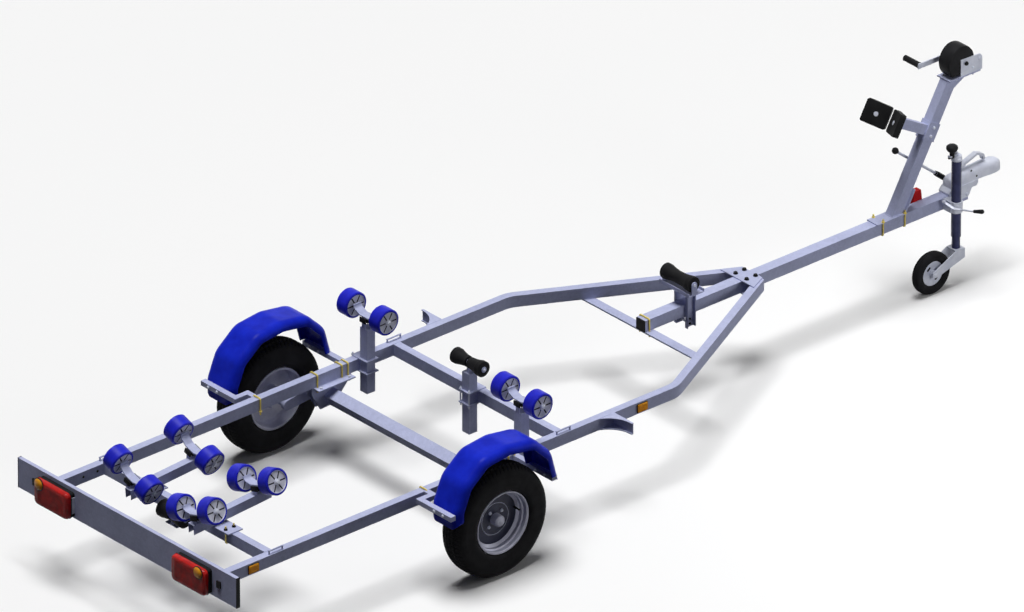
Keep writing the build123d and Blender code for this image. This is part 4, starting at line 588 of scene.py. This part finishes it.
# drawbar plates: four bolts through both
for bolt_at in (2.235, 2.290):
    for y in (-0.0395, 0.0395):
        black_heads += hex_bolt((ahead(bolt_at), y, FRAME_TOP + PLATE), UP, 0.0115)
        black_heads += hex_bolt((ahead(bolt_at), y, FRAME_BOTTOM - PLATE), DOWN, 0.0115, 0.008)
# U-bolts over the rails; those of the axle bracket go through its plate
for side, _ in SIDES:
    for bolt_at, plate in ((-0.251, 0.0), (0.100, PLATE), (0.251, PLATE), (0.288, PLATE)):
        feet = [(ahead(bolt_at), side * RAIL_Y + s * (RAIL_HALF + RAIL_GAP)) for s in (-1, 1)]
        yellow_u(feet, FRAME_BOTTOM - plate - 0.020, FRAME_TOP + RAIL_GAP)
        for foot in feet:
            yellow_bars += hex_bolt((*foot, FRAME_BOTTOM - plate), DOWN, BOLT_SIZE)
# U-bolts round the drawbar: two under the winch post's foot, one over the drawbar's rear end
for bolt_at in (3.098, 3.236):
    feet = [(ahead(bolt_at), s * (DRAWBAR_HALF + DRAWBAR_GAP)) for s in (-1, 1)]
    yellow_u(feet, FRAME_TOP + 0.022, FRAME_BOTTOM - DRAWBAR_GAP)
    for foot in feet:
        yellow_bars += hex_bolt((*foot, FRAME_TOP + PLATE), UP, BOLT_SIZE)
feet = [(ahead(1.632), s * (DRAWBAR_HALF + DRAWBAR_GAP)) for s in (-1, 1)]
yellow_u(feet, 0.352, FRAME_TOP + DRAWBAR_GAP)
for foot in feet:
    yellow_bars += hex_bolt((*foot, FRAME_BOTTOM - 0.008), DOWN, BOLT_SIZE)
# U-bolts under the rear crossmember hold the cradle mounts
for s in (-1, 1):
    feet = [(ahead(-1.180) + e * (RAIL_HALF + RAIL_GAP), s * 0.300) for e in (-1, 1)]
    yellow_u(feet, FRAME_TOP + 0.024, FRAME_BOTTOM - DRAWBAR_GAP, (0, 1, 0))
    for foot in feet:
        black_heads += hex_bolt((*foot, FRAME_TOP + PLATE), UP, 0.0095)


def long_bolt(x, y, shank=None):
    """Bolt through a post's clamp: a nut above, a nut below, the shank between them."""
    heads = hex_bolt((x, y, FRAME_TOP + 0.005), UP, SMALL_HEX, 0.006)
    heads += hex_bolt((x, y, FRAME_BOTTOM - 0.005), DOWN, SMALL_HEX, 0.010)
    return heads + [turned([(0.004, -0.060), (0.004, 0.0)], 10, (*(shank or (x, y)), FRAME_TOP), UP)]


# square clamps of the side posts and the middle one, each held by long bolts
for side, _ in SIDES:
    for step in (-0.031, 0.031):
        zinc_heads += long_bolt(ahead(SIDE_POST_AT) + step, side * (SIDE_POST_Y + 0.070))
for s in (-1, 1):
    zinc_heads += long_bolt(ahead(0.5175), s * 0.029, (ahead(0.5165), s * 0.030))
# mudguards: two bolts through the front flap, two through the rear one, each with its nut behind
GUARD_BOLTS = (
    (0.3222, 0.4245, (0.966, 0, 0.258), 0.0),
    (0.2815, 0.4235, REAR, 0.004),
    (-0.341, 0.4295, REAR, 0.0),
    (-0.305, 0.4295, (1, 0, 0), 0.004),
)
for side, _ in SIDES:
    for y in (-0.031, 0.031):
        for bolt_at, z, way, stud in GUARD_BOLTS:
            zinc_heads += hex_bolt((ahead(bolt_at), side * WHEEL_Y + y, z), way, SMALL_HEX, stud)
    for bolt_at in (0.105, 0.280):
        for y in (-0.045, 0.045):
            x, y = ahead(bolt_at), side * RAIL_Y + y
            zinc_heads += hex_bolt((x, y, FRAME_BOTTOM - PLATE), DOWN, BOLT_SIZE, 0.004)
            zinc_heads += hex_bolt((x, y, FRAME_BOTTOM), UP, BOLT_SIZE)
# keel brackets: a nut on each pin's end, screws and pins through the front channel's legs
for keel_at, keel_z, keel_half in ((0.547, 0.586, 0.1035), (1.850, 0.575, 0.1055), (-1.262, 0.430, 0.086)):
    for s in (-1, 1):
        zinc_heads += hex_bolt((ahead(keel_at), s * keel_half, keel_z), (0, s, 0), 0.0072)
for z in (0.334, 0.358):
    for s in (-1, 1):
        black_heads += hex_bolt((ahead(KEEL_CHANNEL_AT), s * 0.034, z), (0, s, 0), 0.0062)
    pin = turned([(0.0045, -0.035), (0.0045, 0.035)], 10, (ahead(KEEL_CHANNEL_AT), 0, z), (0, 1, 0))
    zinc_heads.append(pin)
# winch: bolts through its deck
for bolt_at in (3.550, 3.654):
    for s in (-1, 1):
        zinc_heads += hex_bolt((ahead(bolt_at), s * 0.040, WINCH_DECK_LOW), DOWN, 0.0065, 0.004)
# coupling: two cross bolts through the cheeks, two dark rivets in the head
for s in (-1, 1):
    for bolt_at in (3.585, 3.625):
        zinc_heads += hex_bolt((ahead(bolt_at), s * 0.038, 0.416), (0, s, 0), BOLT_SIZE)
    for rivet_at, z in ((3.655, 0.528), (3.690, 0.489)):
        rivet = [(0.0050, 0.0), (0.0050, 0.0012), (0.0036, 0.0016)]
        black_heads.append(turned(rivet, 16, (ahead(rivet_at), s * 0.034, z), (0, s, 0)))
# holes in the rails' inner walls, where the lashing eyes enter: thin black discs on the wall, painted shade
# for the dark inside the holes
for side, _ in SIDES:
    for hole_at in (-1.326, -1.240):
        hole = [(0.0065, -0.0005), (0.0065, 0.0004), (0.0055, 0.0005)]
        hole_shades.append(turned(hole, 18, (ahead(hole_at), side * RAIL_INNER, 0.412), (0, -side, 0)))
piece("black_bolts", black_heads, black_plastic, "root")
piece("zinc_bolts", zinc_heads, bright_zinc, "root")
piece("yellow_u_bolts", yellow_bars, yellow_zinc, "root")
piece("rail_hole_shades", hole_shades, black_plastic, "root")

# ---- Welds
beads = []
for side, _ in SIDES:
    inner, outer = side * RAIL_INNER, side * RAIL_OUTER
    for rear in (ahead(-1.200), ahead(0.572)):
        front = rear + CROSSBAR_DEEP
        for x in (rear, front):
            beads.append(weld((x, inner, FRAME_BOTTOM), (x, inner, FRAME_TOP)))
        for z in (FRAME_TOP, FRAME_BOTTOM):
            beads.append(weld((rear, inner, z), (front, inner, z)))
    beads.append(weld((ahead(0.903), outer, FRAME_BOTTOM), (ahead(0.903), outer, FRAME_TOP - 0.004)))
    beads.append(weld((ahead(0.907), outer, FRAME_BOTTOM), (ahead(0.907), outer, FRAME_TOP)))
    beads.append(weld((ahead(0.812), outer, FRAME_TOP), (ahead(0.900), outer, FRAME_TOP), 0.002))


def post_rear(z):
    """X of the leaning winch post's rear wall at a height."""
    return ahead(POST_AT) - POST_DEEP / 2 + (z - FRAME_TOP) * math.tan(POST_LEAN)


def post_welds(z, size):
    """Beads along the winch post's right, left and rear walls where it meets a plate."""
    rear, y = post_rear(z), POST_HALF_WIDE
    along = [weld((rear, s * y, z), (rear + POST_DEEP, s * y, z), size) for s in (-1, 1)]
    return along + [weld((rear, -y, z), (rear, y, z), size)]


post_foot = FRAME_TOP + PLATE
foot_front = post_rear(post_foot) + 0.0765
beads += post_welds(post_foot, 0.0035)
beads.append(weld((foot_front, -0.037, post_foot), (foot_front, 0.037, post_foot), 0.0035))
beads += post_welds(WINCH_DECK_LOW, 0.003)
piece("weld_beads", beads, galvanised, "root", 60.0)

# ---- Tail lamps
LAMP_Y, LAMP_Z, LAMP_BACK = 0.488, 0.425, -1.568
LAMP_HALF_WIDE, LAMP_HALF_HIGH, LAMP_CORNER = 0.119, 0.067, 0.020
DOME_RADIUS = 0.029


def lamp_skin(y, steps):
    """A lamp's round-cornered outline carried to the rear through (depth, inset) steps."""
    rows = []
    for depth, inset in steps:
        outline = rounded_box(LAMP_HALF_WIDE - inset, LAMP_HALF_HIGH - inset, LAMP_CORNER)
        rows.append(np.column_stack([outline, np.full(len(outline), depth)]))
    return skin(stand(np.array(rows), (ahead(LAMP_BACK), y, LAMP_Z), REAR, (0, 1, 0)))


def lamp_ribs(y, low, high, count):
    """Upright flutes of the lens: half-round bars side by side."""
    flutes = []
    for place in np.linspace(low, high, count):
        line = [(ahead(LAMP_BACK) - 0.0318, y + place, LAMP_Z + z) for z in (-0.050, -0.049, 0.049, 0.050)]
        flutes.append(carried(bar_section(0.0021, 6) * (1, 0.9), line, (0, 1, 0)))
    return flutes


# the red lens is drawn in along a quarter round; the rim stands 1.5 mm outside it
quarter = np.linspace(0, np.pi / 2, 7)
LENS_STEPS = [(0.0, 0.0), (0.004, 0.0), *zip(0.012 + 0.020 * np.sin(quarter), 0.010 * (1 - np.cos(quarter)))]
RIM_STEPS = [(0.0, 0.0), (0.0005, -0.0015), (0.0050, -0.0015), (0.0055, 0.0)]
DOME = [(DOME_RADIUS, 0.0)]
for a in np.linspace(0, np.pi / 2 * 0.96, 9):
    DOME.append((DOME_RADIUS * math.cos(a), 0.002 + 0.0125 * math.sin(a)))
BEZEL = [(DOME_RADIUS, 0.0), (0.0325, 0.0), (0.0325, 0.0035), (0.0305, 0.0050), (DOME_RADIUS, 0.0045)]
for side, name in SIDES:
    y = side * LAMP_Y
    stands_for = ("tail_lamps",) if side > 0 else ()
    piece(f"lamp_lens_{name}", [lamp_skin(y, LENS_STEPS)], red_lens, "root", 50.0, stands_for)
    piece(f"lamp_flutes_{name}", lamp_ribs(y, -0.088, 0.088, 34), red_lens, "root")
    dome_at = (ahead(LAMP_BACK) - 0.030, side * 0.566, 0.4735)
    dome = [turned(DOME, 40, dome_at, REAR)]
    for r, drop in ((0.006, 0.0001), (0.012, 0.0008), (0.018, 0.0026), (0.0235, 0.0056)):
        ring = [(r, 0.0135 - drop), (r + 0.0012, 0.0142 - drop), (r + 0.0024, 0.0128 - drop)]
        dome.append(turned(ring, 36, dome_at, REAR, closed=True))
    piece(f"lamp_dome_{name}", dome, amber_lens, "root")
    rims = [turned(BEZEL, 40, dome_at, REAR, closed=True), lamp_skin(y, RIM_STEPS)]
    piece(f"lamp_rim_{name}", rims, black_plastic, "root")
    window_at = (ahead(-1.558), side * 0.3725, 0.4246)
    window = block(0.010, 0.0425, 0.003, 0.0008, window_at, (0, -side, 0), (1, 0, 0))
    piece(f"lamp_window_{name}", [window], clear_lens, "root")
    # a small black block on the board outside each lamp
    dark_tab = block(0.014, 0.018, 0.008, 0.0015, (ahead(-1.548), side * 0.655, 0.430), REAR, (0, 1, 0))
    piece(f"lamp_dark_tab_{name}", [dark_tab], black_plastic, "root")

# amber side reflectors: a black tray behind each lens with its prisms in rows
REFLECTOR_Z = 0.410
trays, prisms = [], []
for side, _ in SIDES:
    for x in (ahead(-1.305), ahead(1.078)):
        spot = (x, side * RAIL_OUTER, REFLECTOR_Z)
        trays.append(block(0.0325, 0.0225, 0.005, 0.001, spot, (0, side, 0), (1, 0, 0)))
        for row in np.linspace(-0.015, 0.015, 9):
            y, z = spot[1] + side * 0.0079, REFLECTOR_Z + row
            line = [(x + step, y, z) for step in (-0.026, -0.025, 0.025, 0.026)]
            prisms.append(carried(bar_section(0.0013, 4), line, (0, 0, 1)))
piece("reflector_trays", trays, black_plastic, "root")
piece("reflector_prisms", prisms, amber_lens, "root")

# ---- Bow pads, winch, coupling, hand lever
PAD_TURN, PAD_HALF = math.radians(31), 0.015
POST_UP = np.array([math.sin(POST_LEAN), 0, math.cos(POST_LEAN)])
ARM_OUT = np.array([-math.cos(POST_LEAN), 0, math.sin(POST_LEAN)])
ARM_CLAMP = np.array([ahead(POST_AT), 0, FRAME_TOP]) + 0.434 * POST_UP
pad_bolts, arm_bolts = [], []
for side, _ in SIDES:
    face_out = math.cos(PAD_TURN) * ARM_OUT - np.array([0, side * math.sin(PAD_TURN), 0])
    middle = ARM_CLAMP + 0.303 * ARM_OUT + np.array([0, side * 0.069, 0])
    button = [(0.0115, 0), (0.0115, 0.0014), (0.0070, 0.0020)]
    pad_bolts.append(turned(button, 24, middle + PAD_HALF * face_out, face_out))
    pad_bolts += hex_bolt(middle - PAD_HALF * face_out, -face_out, BOLT_SIZE, 0.004)
    for lift in (-0.022, 0.022):
        spot = ARM_CLAMP + lift * POST_UP + np.array([0, side * 0.030, 0])
        arm_bolts += hex_bolt(spot, (0, side, 0), BOLT_SIZE)
piece("pad_bolts", pad_bolts, bright_zinc, "root")
piece("arm_bolts", arm_bolts, bright_zinc, "root")


def winch_hood():
    """Guard over the drum: an oval (80 cos a, 86 sin a) cut flat below, both rims rounded by 9 mm."""
    angle = np.linspace(math.radians(-46), math.radians(226), 61)
    across = np.array([-0.0395, -0.0385, -0.0365, -0.0305, 0.0305, 0.0365, 0.0385, 0.0395])
    inset = np.array([0.0090, 0.0040, 0.0014, 0.0, 0.0, 0.0014, 0.0040, 0.0090])
    out_x = 0.0800 - inset[:, None]
    out_z = 0.0860 - inset[:, None]
    x = ahead(3.585) + out_x * np.cos(angle)[None]
    z = 1.128 + np.maximum(out_z * np.sin(angle)[None], -0.0620)
    y = across[:, None] * np.ones_like(x)
    return skin(np.stack([x, y, z], axis=-1))


piece("winch_hood", [winch_hood()], black_plastic, "root", 25.0, ("winch_guard",))
DRUM = np.array([ahead(3.604), 0, 1.123])
CRANK_END = DRUM + np.array([-0.180, 0.078, 0])
ribbed = [(0.0134, 0.002), (0.0155, 0.004)]
ribbed += [(0.0143 + 0.0009 * math.cos(k * math.pi), 0.008 + 0.0045 * k) for k in range(21)]
ribbed += [(0.0150, 0.104), (0.0110, 0.107)]
crank_grip = turned(ribbed, 28, CRANK_END, (0, 1, 0))
piece("crank_grip", [crank_grip], black_plastic, "winch_spool", 50.0)
spindle, gear_studs = [], []
for end_y, way in ((-0.0485, (0, -1, 0)), (0.078, (0, 1, 0))):
    spindle += hex_bolt(DRUM + np.array([0, end_y, 0]), way, 0.0105)
piece("spindle_nuts", spindle, black_plastic, "winch_spool")
for stud_at, z in ((3.650, 1.085), (3.690, 1.118)):
    for s in (-1, 1):
        gear_studs += hex_bolt((ahead(stud_at), s * 0.044, z), (0, s, 0), SMALL_HEX)
piece("winch_studs", gear_studs, bright_zinc, "root")

HEAD_LOW = 0.469


def pressed_head():
    """Coupling head: along X its half width and height change smoothly; each section is a flat-bottomed arch.

    The arch is y = w cos a, z = h sin a, with cos a and sin a to the power 2/n and n = 3.4."""
    stations = np.array([3.530, 3.534, 3.548, 3.600, 3.700, 3.735, 3.775, 3.815, 3.838, 3.850, 3.857, 3.859])
    half = np.array([0.028, 0.031, 0.034, 0.034, 0.034, 0.035, 0.039, 0.038, 0.031, 0.022, 0.012, 0.003])
    high = np.array([0.038, 0.046, 0.056, 0.062, 0.064, 0.065, 0.066, 0.062, 0.055, 0.047, 0.038, 0.030])
    x = np.concatenate([np.linspace(a, b, 5)[:-1] for a, b in zip(stations, stations[1:])] + [stations[-1:]])
    half, high = np.interp(x, stations, half), np.interp(x, stations, high)
    arch = np.linspace(0, np.pi, 33)
    power = 2 / 3.4
    y = half[:, None] * (np.sign(np.cos(arch)) * np.abs(np.cos(arch)) ** power)[None]
    z = HEAD_LOW + high[:, None] * (np.abs(np.sin(arch)) ** power)[None]
    along = ahead(x)[:, None] * np.ones_like(y)
    return skin(np.stack([along, y, z], axis=-1))


def side_shape(outline, y, thick):
    """Flat plate: an outline in X and Z carried through its thickness along Y, its edges eased."""
    outline = np.array(outline, float)
    middle = outline.mean(axis=0)
    rows = []
    for share, ease in ((-0.5, 0.985), (-0.35, 1.0), (0.35, 1.0), (0.5, 0.985)):
        x, z = (middle + (outline - middle) * ease).T
        rows.append(np.column_stack([ahead(x), np.full(len(x), y + share * thick), z]))
    return skin(np.array(rows))


HOUSING_LINE = [
    (3.512, 0.4402), (3.512, 0.452), (3.530, 0.4705), (3.700, 0.4705), (3.700, 0.452), (3.690, 0.4402),
]
CHEEK_LINE = [
    (3.560, 0.4690), (3.560, 0.4080), (3.566, 0.3990), (3.632, 0.3990), (3.641, 0.4060), (3.672, 0.4690),
]
housing = [side_shape(HOUSING_LINE, 0.0, 0.072)]
housing += [side_shape(CHEEK_LINE, s * 0.034, 0.0068) for s in (-1, 1)]
piece("coupling_shell", [pressed_head()], bright_zinc, "root", 40.0, ("coupling_head",))
piece("coupling_cheeks", housing, bright_zinc, "root", 30.0, ("coupling_housing",))

LEVER_FOOT, LEVER_LEAN = np.array([ahead(3.550), 0.050, 0.497]), math.radians(39)
LEVER_LINE = np.array([-math.cos(LEVER_LEAN), 0, math.sin(LEVER_LEAN)])
KNOB_RADIUS, KNOB_ALONG = 0.0166, 0.390
sleeve = [
    (0.0085, -0.030), (0.0115, -0.027), (0.0132, 0.002), (0.0132, 0.052), (0.0112, 0.064), (0.0082, 0.066),
]
ball = [(0.0075, 0.371), (0.0100, 0.374)]
for a in np.linspace(-0.85, 1.45, 14):
    ball.append((KNOB_RADIUS * math.cos(a), KNOB_ALONG + KNOB_RADIUS * math.sin(a)))
lever_black = [turned(profile, 28, LEVER_FOOT, LEVER_LINE) for profile in (sleeve, ball)]
piece("lever_knob", lever_black, black_plastic, "root")
lever_pivot = hex_bolt(LEVER_FOOT + 0.018 * LEVER_LINE + np.array([0, 0.012, 0]), (0, 1, 0), BOLT_SIZE)
piece("lever_pivot", lever_pivot, bright_zinc, "root")

# ---- Jockey wheel: column in painted shade, the dark navy of its shaded side, with a silver collar and a mushroom knob, clamp lever, ribbed tyre
JOCKEY = np.array([ahead(3.515), JOCKEY_Y, 0.0])
column = turned(
    [(0.0203, 0.250), (0.0238, 0.250), (0.0240, 0.252), (0.0240, 0.640), (0.0234, 0.655), (0.0203, 0.655)],
    64, JOCKEY, UP, closed=True,
)
piece("jockey_column", [column], painted_column_shade, "root", 30.0, ("jockey_tube",))
collar = [
    (0.0002, 0.655), (0.0262, 0.655), (0.0270, 0.657), (0.0270, 0.668), (0.0250, 0.671), (0.0250, 0.679),
    (0.0215, 0.683), (0.0002, 0.684),
]
collar_parts = [turned(collar, 56, JOCKEY, UP)]
collar_parts.append(block(0.031, 0.0095, 0.007, 0.0012, JOCKEY + np.array([-0.019, 0, 0.683]), UP))
collar_parts += hex_bolt(JOCKEY + np.array([0, 0, 0.690]), UP, 0.0095)
piece("jockey_collar", collar_parts, bright_zinc, "root")
knob = [
    (0.0110, 0.688), (0.0125, 0.690), (0.0118, 0.700), (0.0125, 0.712), (0.0170, 0.720), (0.0245, 0.726),
    (0.0282, 0.734), (0.0288, 0.740), (0.0270, 0.747), (0.0210, 0.752), (0.0120, 0.7545), (0.0020, 0.755),
]
knob_at = JOCKEY + np.array([-0.029, 0, -0.010])
tip = turned([(0.006, -0.008), (0.007, -0.006), (0.007, 0.0)], 14, JOCKEY + np.array([-0.046, 0, 0.684]), UP)
piece("jockey_knob", [turned(knob, 48, knob_at, UP), tip], black_plastic, "root", 50.0)

# clamp: a flat strap from its bolt to the rod's root, then the rod with its grip
STRAP_LINE = [(ahead(3.462), -0.058, 0.437), (ahead(3.476), -0.113, 0.419), (ahead(3.503), -0.129, 0.411)]
ROD_ROOT, ROD_BEND = np.array(STRAP_LINE[-1]), np.array([ahead(3.519), -0.200, 0.424])
ROD_END = np.array([ahead(3.524), -0.250, 0.441])
GRIP = [
    (0.0060, -0.048), (0.0082, -0.045), (0.0086, -0.028), (0.0108, -0.002), (0.0112, 0.008), (0.0080, 0.014),
]
strap = carried(rounded_box(0.0025, 0.0070, 0.0020), bent(STRAP_LINE, 0.020), (0.45, 0.0, -0.89))
rod_line = bent([ROD_ROOT - (0.006, -0.008, 0.0), ROD_ROOT, ROD_BEND, ROD_END], 0.012)
rod = carried(bar_section(0.0042), rod_line, UP)
grip = turned(GRIP, 22, ROD_END, ROD_END - ROD_BEND)
piece("clamp_rod", [strap, rod] + hex_bolt(STRAP_LINE[0], UP, 0.010), bright_zinc, "root")
piece("clamp_grip", [grip], black_plastic, "root")

SPIN = np.array([ahead(3.358), JOCKEY_Y, 0.108])


def jockey_ring():
    """Small tyre: r = 85 mm + 23 mm |sin t|^(2/3), y = 25 mm |cos t|^(2/3), two grooves round its tread."""
    t = np.arange(72) * 2 * np.pi / 72
    radius = 0.085 + 0.0228 * np.sign(np.sin(t)) * np.abs(np.sin(t)) ** (2 / 3)
    across = 0.0248 * np.sign(np.cos(t)) * np.abs(np.cos(t)) ** (2 / 3)
    grooves = np.exp(-(((np.abs(across) - 0.0075) / 0.0016) ** 2))
    radius = radius - 0.0022 * grooves * (np.sin(t) > 0.3)
    return turned(np.column_stack([radius, across]), 120, SPIN, (0, 1, 0), closed=True)


piece("jockey_tread", [jockey_ring()], tyre_rubber, "jockey_wheel", 25.0, ("jockey_tyre",))
# radius of the rim's dents; the black ovals laid on them, two on each face, are painted shade of the dents,
# and a thin black ring circles the boss
DENT_RING = 0.039
dent_shades_and_ring, hub_nuts = [], []
for s in (-1, 1):
    out = np.array([0, s, 0])
    for a in (math.radians(130), math.radians(310)):
        spot = SPIN + DENT_RING * np.array([math.cos(a), 0, math.sin(a)]) + 0.0122 * out
        way = (-math.sin(a), 0, math.cos(a))
        dent_shades_and_ring.append(block(0.013, 0.0055, 0.0012, 0.0003, spot, out, way, 0.0050))
    hub_nuts += hex_bolt(SPIN + 0.0300 * out, out, BOLT_SIZE)
    dent_shades_and_ring.append(flat_ring(0.0165, 0.0175, 0.0004, 40, SPIN + 0.0150 * out, out))
piece("jockey_dent_shades_and_ring", dent_shades_and_ring, black_plastic, "jockey_wheel")
piece("jockey_axle_nuts", hub_nuts, bright_zinc, "jockey_caster")


# ---- Floor, background and light
def seen_white(nodes, links):
    """1 for the rays that must find white: the camera's, reflections and see-through ones; else 0."""
    path = nodes.new("ShaderNodeLightPath")
    total = path.outputs["Is Camera Ray"]
    for output in ("Is Glossy Ray", "Is Transmission Ray"):
        add = nodes.new("ShaderNodeMath")
        add.operation, add.use_clamp = "ADD", True
        links.new(total, add.inputs[0])
        links.new(path.outputs[output], add.inputs[1])
        total = add.outputs[0]
    return total


def white_floor(half_wide=60.0, z=-0.001):
    """Floor that is white where it is seen, dark to the light that bounces, and see-through from below."""
    mesh = bpy.data.meshes.new("floor")
    corners = [(x * half_wide, y * half_wide, z) for x, y in ((-1, -1), (1, -1), (1, 1), (-1, 1))]
    mesh.from_pydata(corners, [], [(0, 1, 2, 3)])
    floor = bpy.data.objects.new("floor", mesh)
    bpy.context.scene.collection.objects.link(floor)
    surface = Finish("floor").put(Roughness=1.0, Specular_IOR_Level=0.0)
    white = seen_white(surface.nodes, surface.links)
    surface.colour(surface.blend(white, (0.035, 0.035, 0.045), (0.93, 0.93, 0.93)))
    sheer = surface.nodes.new("ShaderNodeBsdfTransparent")
    facing = surface.nodes.new("ShaderNodeNewGeometry")
    shown = surface.nodes.new("ShaderNodeMixShader")
    surface.links.new(facing.outputs["Backfacing"], shown.inputs[0])
    surface.links.new(surface.shader.outputs["BSDF"], shown.inputs[1])
    surface.links.new(sheer.outputs["BSDF"], shown.inputs[2])
    surface.links.new(shown.outputs["Shader"], surface.nodes["Material Output"].inputs["Surface"])
    mesh.materials.append(surface.material)


def white_world(strength_on_object=0.022):
    """World that is white where it is seen, and lights the object only faintly."""
    world = bpy.data.worlds.new("studio")
    world.use_nodes = True
    bpy.context.scene.world = world
    nodes, links = world.node_tree.nodes, world.node_tree.links
    background = nodes["Background"]
    strength = nodes.new("ShaderNodeMapRange")
    strength.inputs["To Min"].default_value = strength_on_object
    strength.inputs["To Max"].default_value = 1.0
    links.new(seen_white(nodes, links), strength.inputs["Value"])
    links.new(strength.outputs["Result"], background.inputs["Strength"])
    background.inputs["Color"].default_value = (1.0, 1.0, 1.0, 1.0)


def lamp(name, kind, energy):
    """Lamp object and its data."""
    data = bpy.data.lights.new(name, kind)
    data.energy = energy
    holder = bpy.data.objects.new(name, data)
    bpy.context.scene.collection.objects.link(holder)
    return holder, data


def sun(name, strength, direction, angle):
    """Soft distant lamp that shines along a direction."""
    holder, data = lamp(name, "SUN", strength)
    data.angle = math.radians(angle)
    holder.rotation_mode = "QUATERNION"
    holder.rotation_quaternion = Vector(direction).to_track_quat("-Z", "Y")


def bulb(name, watts, at, radius):
    """Soft round lamp at a place, itself unseen; its light fades with distance."""
    holder, data = lamp(name, "POINT", watts)
    data.shadow_soft_size = radius
    holder.location = at
    holder.visible_camera = False


white_floor()
white_world()
sun("top_light", 3.0, (0.06, -0.06, -1.0), 30.0)
sun("side_light", 0.10, (-0.35, 0.85, -0.35), 40.0)
# lifts the right-hand faces of the front end, as in the photograph
bulb("front_bulb", 95.0, (ahead(3.6), -2.7, 1.3), 0.6)

bpy.context.scene.view_settings.view_transform = "Standard"
